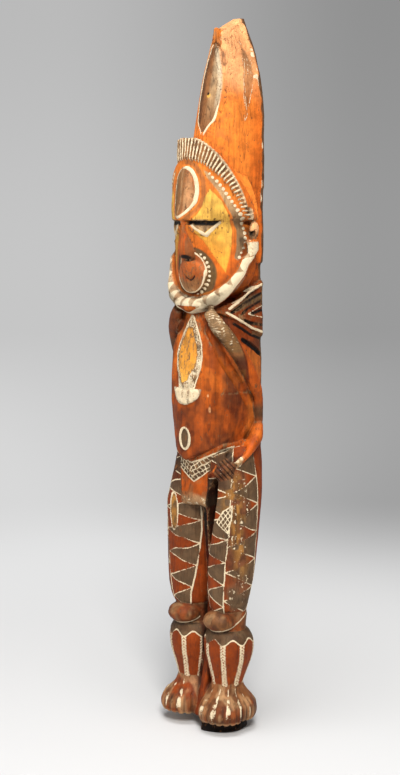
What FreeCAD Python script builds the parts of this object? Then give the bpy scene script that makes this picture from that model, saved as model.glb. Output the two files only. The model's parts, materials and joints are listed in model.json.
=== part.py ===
import FreeCAD, Part
import math
import os

# A standing ancestor figure carved in high relief from one log, in millimetres.
# +Z is up, the figure faces -Y and its left side is +X. The origin is on the floor, under the
# middle of the bounding box. Most places are given as (x, depth, z): depth is measured forwards,
# towards -Y, from the axis of the log.

Vector = FreeCAD.Vector

# The log
TOTAL_HEIGHT = 1320.0
BROW_DEPTH = 98.0
MEDALLION_RELIEF = 2.5
BACK_DEPTH = -65.0
AXIS_Y = (BROW_DEPTH + MEDALLION_RELIEF + BACK_DEPTH) / 2
FAR = 300.0

# Sections: how finely they are drawn and how square they are, as superellipse powers
OVAL_POINTS = 16
ARCH_POINTS = 10
ROUND = 2.0
SQUARISH = 2.2
SQUARE = 2.4

# Heights of the carved levels
SOLE_Z = 20.0
ANKLE_Z = 88.0
CALF_TOP_Z = 188.0
KNEE_TOP_Z = 226.0
CROTCH_Z = 407.0
BELT_TIP_Z = 458.0
BELLY_LOW_Z = 494.0
BELLY_SIDE_Z = 534.0
THIGH_TOP_Z = 520.0
TRUNK_LOW_Z = 460.0
BELLY_WIDE_Z = 600.0
CHEST_LOW_Z = 620.0
RIBS_Z = 660.0
ARMPIT_Z = 720.0
CHIN_Z = 770.0
TRUNK_TOP_Z = 860.0
EAR_LOW_Z = 904.0
BROW_Z = 938.0
BLADE_LOW_Z = 1000.0
CREST_TOP_Z = 1093.0

# Legs and feet
STUMP_HALF_WIDTH = 75.0
STUMP_FRONT = 62.0
STUMP_BACK = -42.0
KEEL_HALF_WIDTH = 10.0
KEEL_FRONT = 33.0
KEEL_BACK = -30.0
KEEL_POWER = 3.0
LEG_X = 44.0
KNEE_RADIUS = 31.0
KNEE_DEPTH = 36.0
KNEE_FLATNESS = 0.62

# Trunk ornament
SKIN = 4.0
BELT_HALF_WIDTH = 72.0
BELT_BACK = 5.0
LOIN_HALF_WIDTH = 34.0
LOIN_BACK = 20.0
LOIN_DEPTH = 58.0
ORNAMENT_BACK = 20.0
NAVEL_Z = 540.0
NAVEL_HALF_WIDTH = 15.0
NAVEL_HALF_HEIGHT = 23.0
NAVEL_BACK = 60.0
NAVEL_FRONT = 88.0
PENDANT_HALF_WIDTH = 34.0
PENDANT_LOW_Z = 632.0
PENDANT_WIDE_Z = 695.0
PENDANT_TOP_Z = 765.0
TAB_HALF_WIDTH = 31.0
TAB_LOW_Z = 600.0
TAB_TOP_Z = 627.0
WING_RELIEF = 7.0
WING_TIP_DEPTH = 50.0
WING_TIP_Z = 769.0
WING_HIGH_Z = 828.0
WING_LOW_Z = 716.0

# Mask: jaw, face, crest
MASK_BACK = -20.0
MASK_BACK_WIDTH = 88.0
JAW_HALF_WIDTH = 97.0
JAW_CENTRE_Z = 880.0
JAW_BAND = 8.0
JAW_LOW_BAND = 20.0
JAW_INSIDE_RISE = 90.0
CREST_HALF_WIDTH = 93.0
CREST_BAND = 6.0
CREST_TOP_BAND = 43.0
CREST_DROP = 10.0
BROW_LEDGE = 8.0
EAR_X = 90.0
EAR_DEPTH = -3.0
EAR_HALF_WIDTH = 7.0
EAR_HALF_DEPTH = 11.0
MEDALLION_HALF_WIDTH = 28.0
MEDALLION_Z = 990.0
MEDALLION_TOP_Z = 1036.0
MEDALLION_BACK = 40.0
MOUTH_RELIEF = 1.0
EYE_X = 35.0
EYE_DROP = 12.0
EYE_HALF_WIDTH = 25.0
EYE_RISE = 11.5
EYE_FALL = 15.0
MOUTH_HALF_WIDTH = 33.0
MOUTH_LOW_Z = 804.0
MOUTH_TOP_Z = 867.0
NOSE_LOW_Z = 868.0

# Blade above the face
BLADE_HALF_WIDTH = 58.5
BLADE_EDGE = 0.5
BLADE_WALL = 4.0
BLADE_CUT_RUN = 60.0
BLADE_CUT_DROP = 34.0
STUB_LOW_Z = 1268.0
STUB_TOP_Z = 1298.0
STUB_BACK = -14.0
STUB_FRONT = 6.0
HOLE_RADIUS = 2.5
HOLE_END_DEPTH = -11.0
HOLE_Z = 1172.0


def place(x, depth, z):
    """A point from its sideways place, its depth in front of the log's axis and its height."""
    return Vector(x, AXIS_Y - depth, z)


def signed_power(value, exponent):
    return math.copysign(abs(value) ** exponent, value)


def closed_spline(points):
    curve = Part.BSplineCurve()
    curve.interpolate(points, PeriodicFlag=True)
    return Part.Wire(curve.toShape())


def oval(z, x, depth, half_width, half_depth, power=ROUND):
    """A horizontal superellipse: power 2 is an ellipse, more is squarer, less is sharper."""
    points = []
    for step in range(OVAL_POINTS):
        turn = 2 * math.pi * (step + 0.5) / OVAL_POINTS
        across = half_width * signed_power(math.cos(turn), 2 / power)
        forward = half_depth * signed_power(math.sin(turn), 2 / power)
        points.append(place(x + across, depth + forward, z))
    return closed_spline(points)


def arched_section(z, half_width, front, power, back_half_width, back, spring):
    """A horizontal section with a straight back and an arched front that springs at a depth."""
    points = [place(back_half_width, back, z)]
    for step in range(ARCH_POINTS + 1):
        turn = math.pi * step / ARCH_POINTS
        across = half_width * signed_power(math.cos(turn), 2 / power)
        forward = (front - spring) * math.sin(turn) ** (2 / power)
        points.append(place(across, spring + forward, z))
    points.append(place(-back_half_width, back, z))
    curve = Part.BSplineCurve()
    curve.interpolate(points)
    closing = Part.LineSegment(points[-1], points[0])
    return Part.Wire([curve.toShape(), closing.toShape()])


def loft(wires):
    return Part.makeLoft(wires, True, False)


def slice_between(low, high):
    return Part.makeBox(2 * FAR, 2 * FAR, high - low, Vector(-FAR, -FAR, low))


def front_prism(wire, back, front):
    """A front-view outline, drawn at the log's axis, carried from one depth to another."""
    face = Part.Face(wire)
    face.translate(Vector(0, -back, 0))
    return face.extrude(Vector(0, back - front, 0))


def front_oval(centre_z, half_width, rise, drop, x=0.0):
    """A front-view oval whose upper and lower halves may differ in height."""
    points = []
    for step in range(OVAL_POINTS):
        turn = 2 * math.pi * (step + 0.5) / OVAL_POINTS
        height = rise if math.sin(turn) > 0 else drop
        points.append(place(x + half_width * math.cos(turn), 0, centre_z + height * math.sin(turn)))
    return closed_spline(points)


def front_polygon(corners):
    """A front-view outline from (x, z) corners."""
    points = [place(x, 0, z) for x, z in corners]
    return Part.makePolygon(points + points[:1])


def tube(stations):
    """A limb of round sections through stations (x, depth, z, radius)."""
    centres = [place(x, depth, z) for x, depth, z, radius in stations]
    wires = []
    for index, station in enumerate(stations):
        before = centres[max(index - 1, 0)]
        after = centres[min(index + 1, len(centres) - 1)]
        along = (after - before).normalize()
        outward = Vector(1, 0, 0)
        side = along.cross(outward).normalize()
        outward = side.cross(along).normalize()
        radius = station[3]
        points = []
        for step in range(OVAL_POINTS // 2):
            turn = 4 * math.pi * step / OVAL_POINTS
            spoke = outward * math.cos(turn) + side * math.sin(turn)
            points.append(centres[index] + spoke * radius)
        wires.append(closed_spline(points))
    return loft(wires)


def mirrored(shape):
    return shape.mirror(Vector(0, 0, 0), Vector(1, 0, 0))


def largest_solid(shape):
    return max(shape.Solids, key=lambda solid: solid.Volume)


def trunk_sections(extra=0.0):
    """The trunk's log section from the belly's lower edge to the shoulders."""
    levels = [
        (TRUNK_LOW_Z, 68, 84),
        (NAVEL_Z, 66, 86),
        (BELLY_WIDE_Z, 74, 84),
        (RIBS_Z, 74, 76),
        (ARMPIT_Z, 70, 66),
        (CHIN_Z, 62, 57),
        (TRUNK_TOP_Z, BLADE_HALF_WIDTH, 50),
    ]
    back_half_width = BLADE_HALF_WIDTH - 1 + extra
    wires = []
    for z, half_width, front in levels:
        width = half_width + extra
        wires.append(arched_section(z, width, front + extra, ROUND, back_half_width, BACK_DEPTH, 0))
    return wires


def blade():
    """The half-round slab behind the head and its tall pointed blade, cut off slanting at the top."""
    levels = [
        (TRUNK_TOP_Z, BLADE_HALF_WIDTH, 104),
        (BLADE_LOW_Z, BLADE_HALF_WIDTH, 104),
        (1092, BLADE_HALF_WIDTH, 100),
        (1150, 56.5, 88),
        (1200, 50, 78),
        (1240, 40, 70),
        (1275, 27, 62),
        (1300, 15, 54),
        (TOTAL_HEIGHT, 7, 46),
    ]
    spring = BACK_DEPTH + BLADE_WALL
    wires = []
    for z, half_width, thickness in levels:
        front = BACK_DEPTH + thickness
        edge = half_width - BLADE_EDGE
        wires.append(arched_section(z, half_width, front, ROUND, edge, BACK_DEPTH, spring))
    corners = [
        place(0, BACK_DEPTH, TOTAL_HEIGHT),
        place(0, BACK_DEPTH + BLADE_CUT_RUN, TOTAL_HEIGHT - BLADE_CUT_DROP),
        place(0, BACK_DEPTH + BLADE_CUT_RUN, TOTAL_HEIGHT + BLADE_CUT_DROP),
    ]
    wedge = Part.Face(Part.makePolygon(corners + corners[:1]))
    wedge.translate(Vector(-FAR, 0, 0))
    return loft(wires).cut(wedge.extrude(Vector(2 * FAR, 0, 0)))


def mask_body(recess=0.0):
    """The bow-shaped mask that carries the jaw, the face and the crest."""
    levels = [
        (CHIN_Z - 5, 97, 60, 1.8),
        (800, 97, 68, 1.7),
        (860, 97, 80, 1.55),
        (EAR_LOW_Z, 96, 90, 1.45),
        (BROW_Z, 94, BROW_DEPTH, 1.4),
        (990, 93, 89, 1.5),
        (1040, 93, 80, 1.7),
        (CREST_TOP_Z + 5, 93, 74, 2.0),
    ]
    wires = []
    for z, half_width, front, power in levels:
        width = half_width - recess
        wires.append(arched_section(z, width, front - recess, power, MASK_BACK_WIDTH - recess, MASK_BACK, 0))
    return Part.makeLoft(wires, True, True)


def make_base_stump():
    middle = (STUMP_FRONT + STUMP_BACK) / 2
    half_depth = (STUMP_FRONT - STUMP_BACK) / 2
    low = oval(0, 0, middle, STUMP_HALF_WIDTH, half_depth, SQUARE)
    high = oval(SOLE_Z, 0, middle, STUMP_HALF_WIDTH + 2, half_depth + 1, SQUARE)
    return loft([low, high])


def make_keel():
    middle = (KEEL_FRONT + KEEL_BACK) / 2
    half_depth = (KEEL_FRONT - KEEL_BACK) / 2
    wires = [
        oval(SOLE_Z, 0, middle + 8, KEEL_HALF_WIDTH + 2, half_depth + 10, KEEL_POWER),
        oval(ANKLE_Z, 0, middle, KEEL_HALF_WIDTH, half_depth, KEEL_POWER),
        oval(CROTCH_Z, 0, middle, KEEL_HALF_WIDTH, half_depth, KEEL_POWER),
    ]
    return loft(wires)


def make_left_foot():
    wires = [
        oval(SOLE_Z, 47, 15, 45, 54, SQUARISH),
        oval(34, 47.5, 15, 49, 60, SQUARISH),
        oval(50, 47, 14, 47, 56, 2.1),
        oval(70, 44, 12, 37, 40),
        oval(ANKLE_Z, 42, 12, 29, 29),
    ]
    return loft(wires)


def make_left_calf():
    wires = [
        oval(ANKLE_Z, 42, 12, 29, 29),
        oval(115, 43, 11, 37, 36),
        oval(150, 44, 10, 46, 45),
        oval(172, 44, 10, 45, 44),
        oval(CALF_TOP_Z, LEG_X, 10, 36, 36),
    ]
    return loft(wires)


def make_left_knee():
    wires = [
        oval(CALF_TOP_Z, LEG_X, 10, 32, 33),
        oval(206, LEG_X + 1, 9, 31, 31),
        oval(KNEE_TOP_Z, LEG_X + 2, 9, 34, 34),
    ]
    shaft = loft(wires)
    boss = Part.makeSphere(KNEE_RADIUS)
    flatten = FreeCAD.Matrix()
    flatten.scale(1.0, 1.0, KNEE_FLATNESS)
    boss = boss.transformGeometry(flatten)
    boss.translate(place(LEG_X + 1, KNEE_DEPTH, (CALF_TOP_Z + KNEE_TOP_Z) / 2))
    return shaft.fuse(boss.common(slice_between(CALF_TOP_Z, KNEE_TOP_Z)))


def make_left_thigh():
    wires = [
        oval(KNEE_TOP_Z, LEG_X + 2, 9, 36, 37),
        oval(250, 49, 8, 43, 43),
        oval(310, 51, 8, 46, 46),
        oval(400, 50, 4, 46, 52, SQUARISH),
        oval(460, 46, -2, 43, 57, SQUARE),
        oval(THIGH_TOP_Z, 41, -4, 38, 58, SQUARE),
    ]
    return loft(wires)


def make_loin_block():
    corners = [
        (-LOIN_HALF_WIDTH, CROTCH_Z),
        (LOIN_HALF_WIDTH, CROTCH_Z),
        (LOIN_HALF_WIDTH + 2, BELLY_LOW_Z),
        (-LOIN_HALF_WIDTH - 2, BELLY_LOW_Z),
    ]
    return front_prism(front_polygon(corners), LOIN_BACK, LOIN_DEPTH)


def belt_line(middle_z, side_z, reach):
    """Front-view area under a V line that is lowest at the middle."""
    slope = (side_z - middle_z) / BELT_HALF_WIDTH
    corners = [
        (0, middle_z),
        (reach, middle_z + slope * reach),
        (reach, 0),
        (-reach, 0),
        (-reach, middle_z + slope * reach),
    ]
    return front_prism(front_polygon(corners), BACK_DEPTH - 1, FAR)


def hips(extra=0.0):
    """The loins: narrow and shallow at the crotch, as wide as the trunk under the belly."""
    levels = [
        (CROTCH_Z, 42, 46, 30, -38),
        (450, 54, 58, 48, -58),
        (BELLY_LOW_Z, 66, 63, 56, BACK_DEPTH),
        (BELLY_SIDE_Z + 30, 70, 64, 57, BACK_DEPTH),
    ]
    wires = []
    for z, half_width, front, back_half_width, back in levels:
        width = half_width + extra
        wires.append(arched_section(z, width, front + extra, SQUARISH, back_half_width, back, 0))
    in_front_of_back = Part.makeBox(2 * FAR, FAR, 2 * FAR, place(-FAR, BACK_DEPTH, 0) - Vector(0, FAR, 0))
    return loft(wires).common(in_front_of_back)


def make_left_upper_arm():
    return tube([
        (38, 62, 772, 10),
        (56, 50, 742, 13),
        (72, 24, 702, 14),
        (79, -8, 650, 14),
        (75, -32, 602, 13),
        (68, -46, 562, 12),
    ])


def make_left_forearm():
    return tube([
        (68, -46, 562, 12),
        (77, -28, 538, 13),
        (80, 4, 514, 13),
        (73, 32, 494, 13),
        (56, 54, 478, 12),
    ])


def make_left_wing():
    corners = [
        place(0, WING_TIP_DEPTH, WING_TIP_Z),
        place(0, BACK_DEPTH + 2, WING_HIGH_Z),
        place(0, BACK_DEPTH + 2, WING_LOW_Z),
    ]
    side_face = Part.Face(Part.makePolygon(corners + corners[:1]))
    return loft(trunk_sections(WING_RELIEF)).common(side_face.extrude(Vector(FAR, 0, 0)))


def make_left_ear():
    ear = Part.makeSphere(1.0)
    stretch = FreeCAD.Matrix()
    stretch.scale(EAR_HALF_WIDTH, EAR_HALF_DEPTH, (BROW_Z - EAR_LOW_Z) / 2 - 0.5)
    ear = ear.transformGeometry(stretch)
    ear.translate(place(EAR_X, EAR_DEPTH, (EAR_LOW_Z + BROW_Z) / 2))
    return ear


def make_nose():
    wires = [
        oval(BROW_Z, 0, 84, 7, 13.9),
        oval(900, 0, 80, 10, 14),
        oval(NOSE_LOW_Z + 6, 0, 76, 15, 15),
        oval(NOSE_LOW_Z, 0, 75, 14, 13),
    ]
    return loft(wires)


def make_navel():
    outline = front_oval(NAVEL_Z, NAVEL_HALF_WIDTH, NAVEL_HALF_HEIGHT, NAVEL_HALF_HEIGHT)
    return front_prism(outline, NAVEL_BACK, NAVEL_FRONT)


def make_pendant():
    """A leaf with a wide lower part, a point below and a narrow neck under the chin."""
    outline = [
        place(0, 0, PENDANT_LOW_Z - 4),
        place(PENDANT_HALF_WIDTH * 0.62, 0, PENDANT_LOW_Z + 18),
        place(PENDANT_HALF_WIDTH, 0, PENDANT_WIDE_Z - 15),
        place(PENDANT_HALF_WIDTH * 0.72, 0, PENDANT_WIDE_Z + 35),
        place(PENDANT_HALF_WIDTH * 0.35, 0, PENDANT_TOP_Z),
    ]
    across = [Vector(-point.x, point.y, point.z) for point in reversed(outline[1:])]
    right_side = Part.BSplineCurve()
    right_side.interpolate(outline)
    left_side = Part.BSplineCurve()
    left_side.interpolate(across + outline[:1])
    top = Part.LineSegment(outline[-1], across[0])
    wire = Part.Wire([right_side.toShape(), top.toShape(), left_side.toShape()])
    return front_prism(wire, ORNAMENT_BACK, FAR / 2)


def make_tab():
    """A half-round tab with its straight edge up."""
    left = place(TAB_HALF_WIDTH, 0, TAB_TOP_Z)
    right = place(-TAB_HALF_WIDTH, 0, TAB_TOP_Z)
    arc = Part.Arc(left, place(0, 0, TAB_LOW_Z), right)
    wire = Part.Wire([arc.toShape(), Part.LineSegment(right, left).toShape()])
    return front_prism(wire, ORNAMENT_BACK, FAR / 2)


def make_crown_stub():
    corners = [(-9, STUB_LOW_Z), (9, STUB_LOW_Z), (7, STUB_TOP_Z), (-6, STUB_TOP_Z)]
    return front_prism(front_polygon(corners), STUB_BACK, STUB_FRONT)


def carve_figure():
    """Every carved element as its own solid, each cut where its neighbour begins."""
    pieces = {}
    blade_body = blade()
    trunk = loft(trunk_sections())
    jaw_drop = JAW_CENTRE_Z - CHIN_Z
    mask_outline = front_prism(
        front_oval(JAW_CENTRE_Z, JAW_HALF_WIDTH, jaw_drop, jaw_drop), MASK_BACK, FAR / 2)
    jaw_inside = front_oval(
        JAW_CENTRE_Z, JAW_HALF_WIDTH - JAW_BAND, JAW_INSIDE_RISE, jaw_drop - JAW_LOW_BAND)
    jaw_hollow = front_prism(jaw_inside, MASK_BACK - 1, FAR / 2)
    arch_outside = front_oval(BROW_Z, CREST_HALF_WIDTH, CREST_TOP_Z - BROW_Z, CREST_DROP)
    arch = front_prism(arch_outside, MASK_BACK, FAR / 2)
    arch_inside = front_oval(
        BROW_Z, CREST_HALF_WIDTH - CREST_BAND, CREST_TOP_Z - CREST_TOP_BAND - BROW_Z, CREST_DROP)
    arch_hollow = front_prism(arch_inside, MASK_BACK - 1, FAR / 2)
    jaw_zone = slice_between(CHIN_Z - 5, EAR_LOW_Z)
    crest_zone = slice_between(BROW_Z, CREST_TOP_Z + 5)
    face_zone = slice_between(CHIN_Z - 5, BROW_Z)

    # Head
    mask = mask_body().cut(blade_body)
    raised_mask = mask_body(-SKIN).cut(blade_body)
    pieces["crest_ruff"] = raised_mask.common(arch).cut(arch_hollow).common(crest_zone)
    pieces["forehead"] = mask.common(arch_hollow).common(crest_zone)
    pieces["jaw_rim"] = mask.common(mask_outline).cut(jaw_hollow).common(jaw_zone)
    face = mask_body(BROW_LEDGE).cut(blade_body).common(jaw_hollow).common(face_zone)
    medallion_oval = front_oval(
        MEDALLION_Z, MEDALLION_HALF_WIDTH, MEDALLION_TOP_Z - MEDALLION_Z, MEDALLION_Z - BROW_Z - 1)
    medallion = front_prism(medallion_oval, MEDALLION_BACK, FAR / 2)
    medallion = mask_body(-MEDALLION_RELIEF).common(medallion).cut(pieces["forehead"]).common(crest_zone)
    pieces["forehead_medallion"] = largest_solid(medallion)
    nose = make_nose()
    mouth_middle = (MOUTH_LOW_Z + MOUTH_TOP_Z) / 2
    mouth_rise = (MOUTH_TOP_Z - MOUTH_LOW_Z) / 2
    mouth_oval = front_oval(mouth_middle, MOUTH_HALF_WIDTH, mouth_rise, mouth_rise)
    mouth = front_prism(mouth_oval, ORNAMENT_BACK, FAR / 2)
    pieces["mouth_oval"] = largest_solid(mask_body(MOUTH_RELIEF).common(mouth).cut(face).cut(nose))
    pieces["nose"] = nose.cut(face)
    pieces["face_mask"] = face
    eye_oval = front_oval(BROW_Z - EYE_DROP, EYE_HALF_WIDTH, EYE_RISE, EYE_FALL, EYE_X)
    eye = mask_body(BROW_LEDGE - SKIN).common(front_prism(eye_oval, ORNAMENT_BACK, FAR / 2))
    eye = eye.cut(face).cut(nose)
    eye = largest_solid(eye.cut(crest_zone))
    pieces["left_eye"] = eye
    pieces["right_eye"] = mirrored(eye)
    ear = make_left_ear().cut(face).cut(blade_body)
    pieces["left_ear"] = ear
    pieces["right_ear"] = mirrored(ear)

    # Blade and the log behind the head
    hole = Part.makeCylinder(HOLE_RADIUS, FAR, place(0, HOLE_END_DEPTH, HOLE_Z), Vector(0, -1, 0))
    upper_blade = blade_body.common(slice_between(BLADE_LOW_Z, TOTAL_HEIGHT + 1))
    pieces["crown_blade"] = upper_blade.cut(hole)
    pieces["nape_slab"] = blade_body.common(slice_between(TRUNK_TOP_Z, BLADE_LOW_Z))
    pieces["crown_stub"] = make_crown_stub().cut(upper_blade)

    # Trunk
    head_space = mask_outline.common(slice_between(CHIN_Z - 5, TRUNK_TOP_Z)).cut(blade_body)
    trunk = trunk.cut(head_space)
    belly_edge = belt_line(BELLY_LOW_Z, BELLY_SIDE_Z, FAR)
    upper_trunk = trunk.cut(belly_edge)
    pieces["chest"] = upper_trunk.common(slice_between(CHEST_LOW_Z, TRUNK_TOP_Z))
    pieces["belly"] = upper_trunk.common(slice_between(0, CHEST_LOW_Z))
    pieces["navel_boss"] = make_navel().cut(upper_trunk)
    raised = loft(trunk_sections(SKIN)).cut(head_space)
    pieces["chest_pendant"] = raised.common(make_pendant()).cut(upper_trunk).cut(make_tab())
    pieces["pendant_tab"] = raised.common(make_tab()).cut(upper_trunk)
    upper_arm = make_left_upper_arm().cut(trunk).cut(mask_outline)
    wing = make_left_wing().cut(trunk).cut(mask_outline).cut(make_left_upper_arm())
    pieces["left_upper_arm"] = largest_solid(upper_arm)
    pieces["left_shoulder_wing"] = largest_solid(wing)

    # Hips and legs
    hip_body = hips().common(belly_edge)
    loins = make_loin_block()
    keel = make_keel()
    thigh = make_left_thigh().cut(keel).cut(loins).common(slice_between(KNEE_TOP_Z, THIGH_TOP_Z))
    thigh = largest_solid(thigh.common(belt_line(BELLY_LOW_Z - 30, BELLY_SIDE_Z - 8, FAR)))
    forearm = make_left_forearm().cut(upper_trunk).cut(hip_body).cut(thigh).cut(make_left_upper_arm())
    forearm = largest_solid(forearm)
    pieces["left_forearm"] = forearm
    pieces["left_thigh"] = thigh
    both_thighs = thigh.fuse(mirrored(thigh))
    belt_band = belt_line(BELLY_LOW_Z, BELLY_SIDE_Z, BELT_HALF_WIDTH).cut(
        belt_line(BELT_TIP_Z, BELLY_SIDE_Z, BELT_HALF_WIDTH))
    belt_front = Part.makeBox(2 * FAR, FAR, FAR, place(-FAR, BELT_BACK, CROTCH_Z) - Vector(0, FAR, 0))
    belt = hips(SKIN).common(belt_band).common(belt_front).cut(both_thighs).cut(hip_body).cut(loins)
    pieces["belt_panel"] = largest_solid(belt.cut(forearm).cut(mirrored(forearm)))
    pieces["hip_block"] = hip_body.fuse(loins).cut(both_thighs).cut(keel)
    pieces["leg_keel"] = keel
    pieces["left_knee"] = largest_solid(make_left_knee().cut(keel))
    pieces["left_calf"] = largest_solid(make_left_calf().cut(keel))
    pieces["left_foot"] = largest_solid(make_left_foot().cut(keel))
    pieces["base_stump"] = make_base_stump()
    for name in [piece for piece in pieces if piece.startswith("left_")]:
        pieces[name.replace("left_", "right_")] = mirrored(pieces[name])
    return pieces


def export_parts(pieces):
    os.makedirs("parts", exist_ok=True)
    for name in sorted(pieces):
        pieces[name].exportStep(os.path.join("parts", name + ".step"))


export_parts(carve_figure())
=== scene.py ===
import json
import math

import bpy
import numpy as np
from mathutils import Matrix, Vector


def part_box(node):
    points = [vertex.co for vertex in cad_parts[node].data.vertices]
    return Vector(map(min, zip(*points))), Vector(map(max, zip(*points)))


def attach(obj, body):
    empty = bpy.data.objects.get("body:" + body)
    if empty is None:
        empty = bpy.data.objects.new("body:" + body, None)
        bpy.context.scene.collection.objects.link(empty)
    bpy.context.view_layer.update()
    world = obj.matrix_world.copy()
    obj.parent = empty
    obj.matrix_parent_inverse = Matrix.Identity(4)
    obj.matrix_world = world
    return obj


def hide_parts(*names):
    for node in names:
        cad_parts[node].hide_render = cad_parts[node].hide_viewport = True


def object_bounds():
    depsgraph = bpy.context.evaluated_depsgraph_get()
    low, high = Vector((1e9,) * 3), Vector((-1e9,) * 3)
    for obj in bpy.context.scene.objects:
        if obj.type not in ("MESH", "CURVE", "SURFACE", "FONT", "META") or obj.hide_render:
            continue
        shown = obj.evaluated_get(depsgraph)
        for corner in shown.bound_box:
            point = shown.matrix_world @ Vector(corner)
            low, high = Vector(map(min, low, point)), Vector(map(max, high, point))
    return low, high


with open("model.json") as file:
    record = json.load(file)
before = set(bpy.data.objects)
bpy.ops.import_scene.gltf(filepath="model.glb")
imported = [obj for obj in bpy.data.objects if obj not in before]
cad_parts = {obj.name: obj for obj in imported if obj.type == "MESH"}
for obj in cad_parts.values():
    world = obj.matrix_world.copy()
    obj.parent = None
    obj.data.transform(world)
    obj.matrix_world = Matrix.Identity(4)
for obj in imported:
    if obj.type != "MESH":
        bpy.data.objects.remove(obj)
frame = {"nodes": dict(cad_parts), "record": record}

import openvdb
from mathutils import Vector

# The painted figure is sculpted as one distance field made from the CAD nodes, so that neighbours
# flow into each other as they do in one log. Brushes cut and add the deeper carving, the field is
# meshed once for each node, and a "skin" gives every point its relief, pigment and chalk.
# Lengths are millimetres until a mesh is made. Places are (x, depth, z), where depth runs forwards,
# towards -Y, from the axis of the log.

CAD_LOW, CAD_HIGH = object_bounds()
MM = 0.001
BACK_DEPTH = -65.0
BACK_CORNER_DEPTH = -57.0
AXIS_Y = CAD_HIGH.y / MM + BACK_DEPTH
TOP_Z = CAD_HIGH.z / MM
VOXEL = 1.4
BAND = 9.8
MARGIN = 8
OVERLAP = 3.0
DIVE = 0.35
NODES = sorted(frame["nodes"])


def low_z(node):
    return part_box(node)[0].z / MM


def high_z(node):
    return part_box(node)[1].z / MM


# How the carving differs from its CAD, and where its features stand before lift() raises them.
LOG_TURN = math.radians(42)
BLADE_EXTRA = 4.8
NAPE_EXTRA = 3.0
LIFT_AT_CREST = 6.0
LIFT_RATE = 0.0088
HOLE_Z = 1172
MEDALLION_Z = 989
EAR_Z = 914
MOUTH_Z = 844
TAB_Z = 628
NAVEL_Z = 538
BROW_Z = low_z("crest_ruff")
CREST_Z = high_z("crest_ruff")
CREST_WIDE = 93.0
CREST_RISE = CREST_Z - BROW_Z - 4
CHIN_Z = low_z("jaw_rim")
JAW_CENTRE_Z = 880.0
JAW_WIDE = 97.0
KNEE_Z = low_z("left_knee")
CROTCH_Z = low_z("hip_block")
THIGH_AXIS = (50.0, 6.0)
CALF_AXIS = (44.0, 10.0)
FOOT_AXIS = (47.0, 14.0)


# ---------------------------------------------------------------- noise

LATTICE_SIZE = 48
LATTICE = np.random.default_rng(11).random((LATTICE_SIZE,) * 3).astype(np.float32)


def between_cells(values, cell, share):
    """A grid's values between its cells: each of the 8 corners counts by its nearness."""
    total = 0.0
    for i in (0, 1):
        for j in (0, 1):
            for k in (0, 1):
                weight = (share[0] if i else 1 - share[0]) * (share[1] if j else 1 - share[1])
                weight = weight * (share[2] if k else 1 - share[2])
                steps = zip(cell, (i, j, k), values.shape)
                corner = tuple((place + step) % count for place, step, count in steps)
                total = total + weight * values[corner]
    return total


def noise(x, y, z, size):
    """Smooth noise from 0 to 1 with features about as large as size."""
    cell, share = [], []
    for value in (x, y, z):
        scaled = value / size
        floor = np.floor(scaled)
        part = scaled - floor
        cell.append(floor.astype(np.int64))
        share.append(part * part * (3 - 2 * part))
    return between_cells(LATTICE, cell, share)


# ---------------------------------------------------------------- the distance field

def node_level_set(node):
    """(lowest cell, distances in mm) of a CAD node on the common grid."""
    mesh = frame["nodes"][node].data
    points = np.empty(len(mesh.vertices) * 3, np.float32)
    mesh.vertices.foreach_get("co", points)
    mesh.calc_loop_triangles()
    corners = np.empty(len(mesh.loop_triangles) * 3, np.int32)
    mesh.loop_triangles.foreach_get("vertices", corners)
    grid = openvdb.FloatGrid.createLevelSetFromPolygons(
        points.reshape(-1, 3) / MM,
        triangles=corners.reshape(-1, 3).astype(np.uint32),
        transform=openvdb.createLinearTransform(voxelSize=VOXEL),
        halfWidth=BAND / VOXEL,
    )
    low, high = grid.evalActiveVoxelBoundingBox()
    values = np.empty(np.subtract(high, low) + 1, np.float32)
    grid.copyToArray(values, ijk=low)
    return np.array(low), np.clip(values, -BAND, BAND)


GRID_LOW = np.floor(np.array(CAD_LOW) / MM / VOXEL).astype(int) - MARGIN
GRID_HIGH = np.ceil(np.array(CAD_HIGH) / MM / VOXEL).astype(int) + MARGIN
GRID_SHAPE = GRID_HIGH - GRID_LOW + 1


def cells(low, shape):
    """The common grid's slices for a block of cells, cut to the grid, and the block's own slices."""
    start = np.maximum(low - GRID_LOW, 0)
    end = np.minimum(low - GRID_LOW + shape, GRID_SHAPE)
    outer = tuple(slice(a, b) for a, b in zip(start, end))
    inner = tuple(slice(a - o, b - o) for a, b, o in zip(start, end, low - GRID_LOW))
    return outer, inner


def log_edge(x, depth):
    """How far a place lies towards the log's back left corner, from its axis."""
    return x * math.cos(LOG_TURN) - depth * math.sin(LOG_TURN)


def along_levels(z, levels):
    """The value at each height of a list of (z, value)."""
    return np.interp(z, [level[0] for level in levels], [level[1] for level in levels])


JAW_REACH = [
    (766, -40), (772, -18), (781, 2), (797, 20), (820, 38), (839, 52), (857, 62), (882, 76), (900, 100)]
STUMP_REACH = -26.0


def narrowed(node, outer, values):
    """The jaw rises in a tighter curve than its CAD ring, and the stump is broken off at one side."""
    if node not in ("jaw_rim", "base_stump"):
        return values
    axes = [np.arange(part.start, part.stop) for part in outer]
    x = (axes[0] + GRID_LOW[0])[:, None, None] * VOXEL
    depth = AXIS_Y - (axes[1] + GRID_LOW[1])[None, :, None] * VOXEL
    z = (axes[2] + GRID_LOW[2])[None, None, :] * VOXEL
    if node == "jaw_rim":
        reach = along_levels(z, JAW_REACH)
        beyond = log_edge(np.abs(x), depth) - reach
    else:
        beyond = STUMP_REACH - log_edge(x, depth)
    return np.clip(np.maximum(values, beyond), -BAND, BAND).astype(np.float32)


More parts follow.
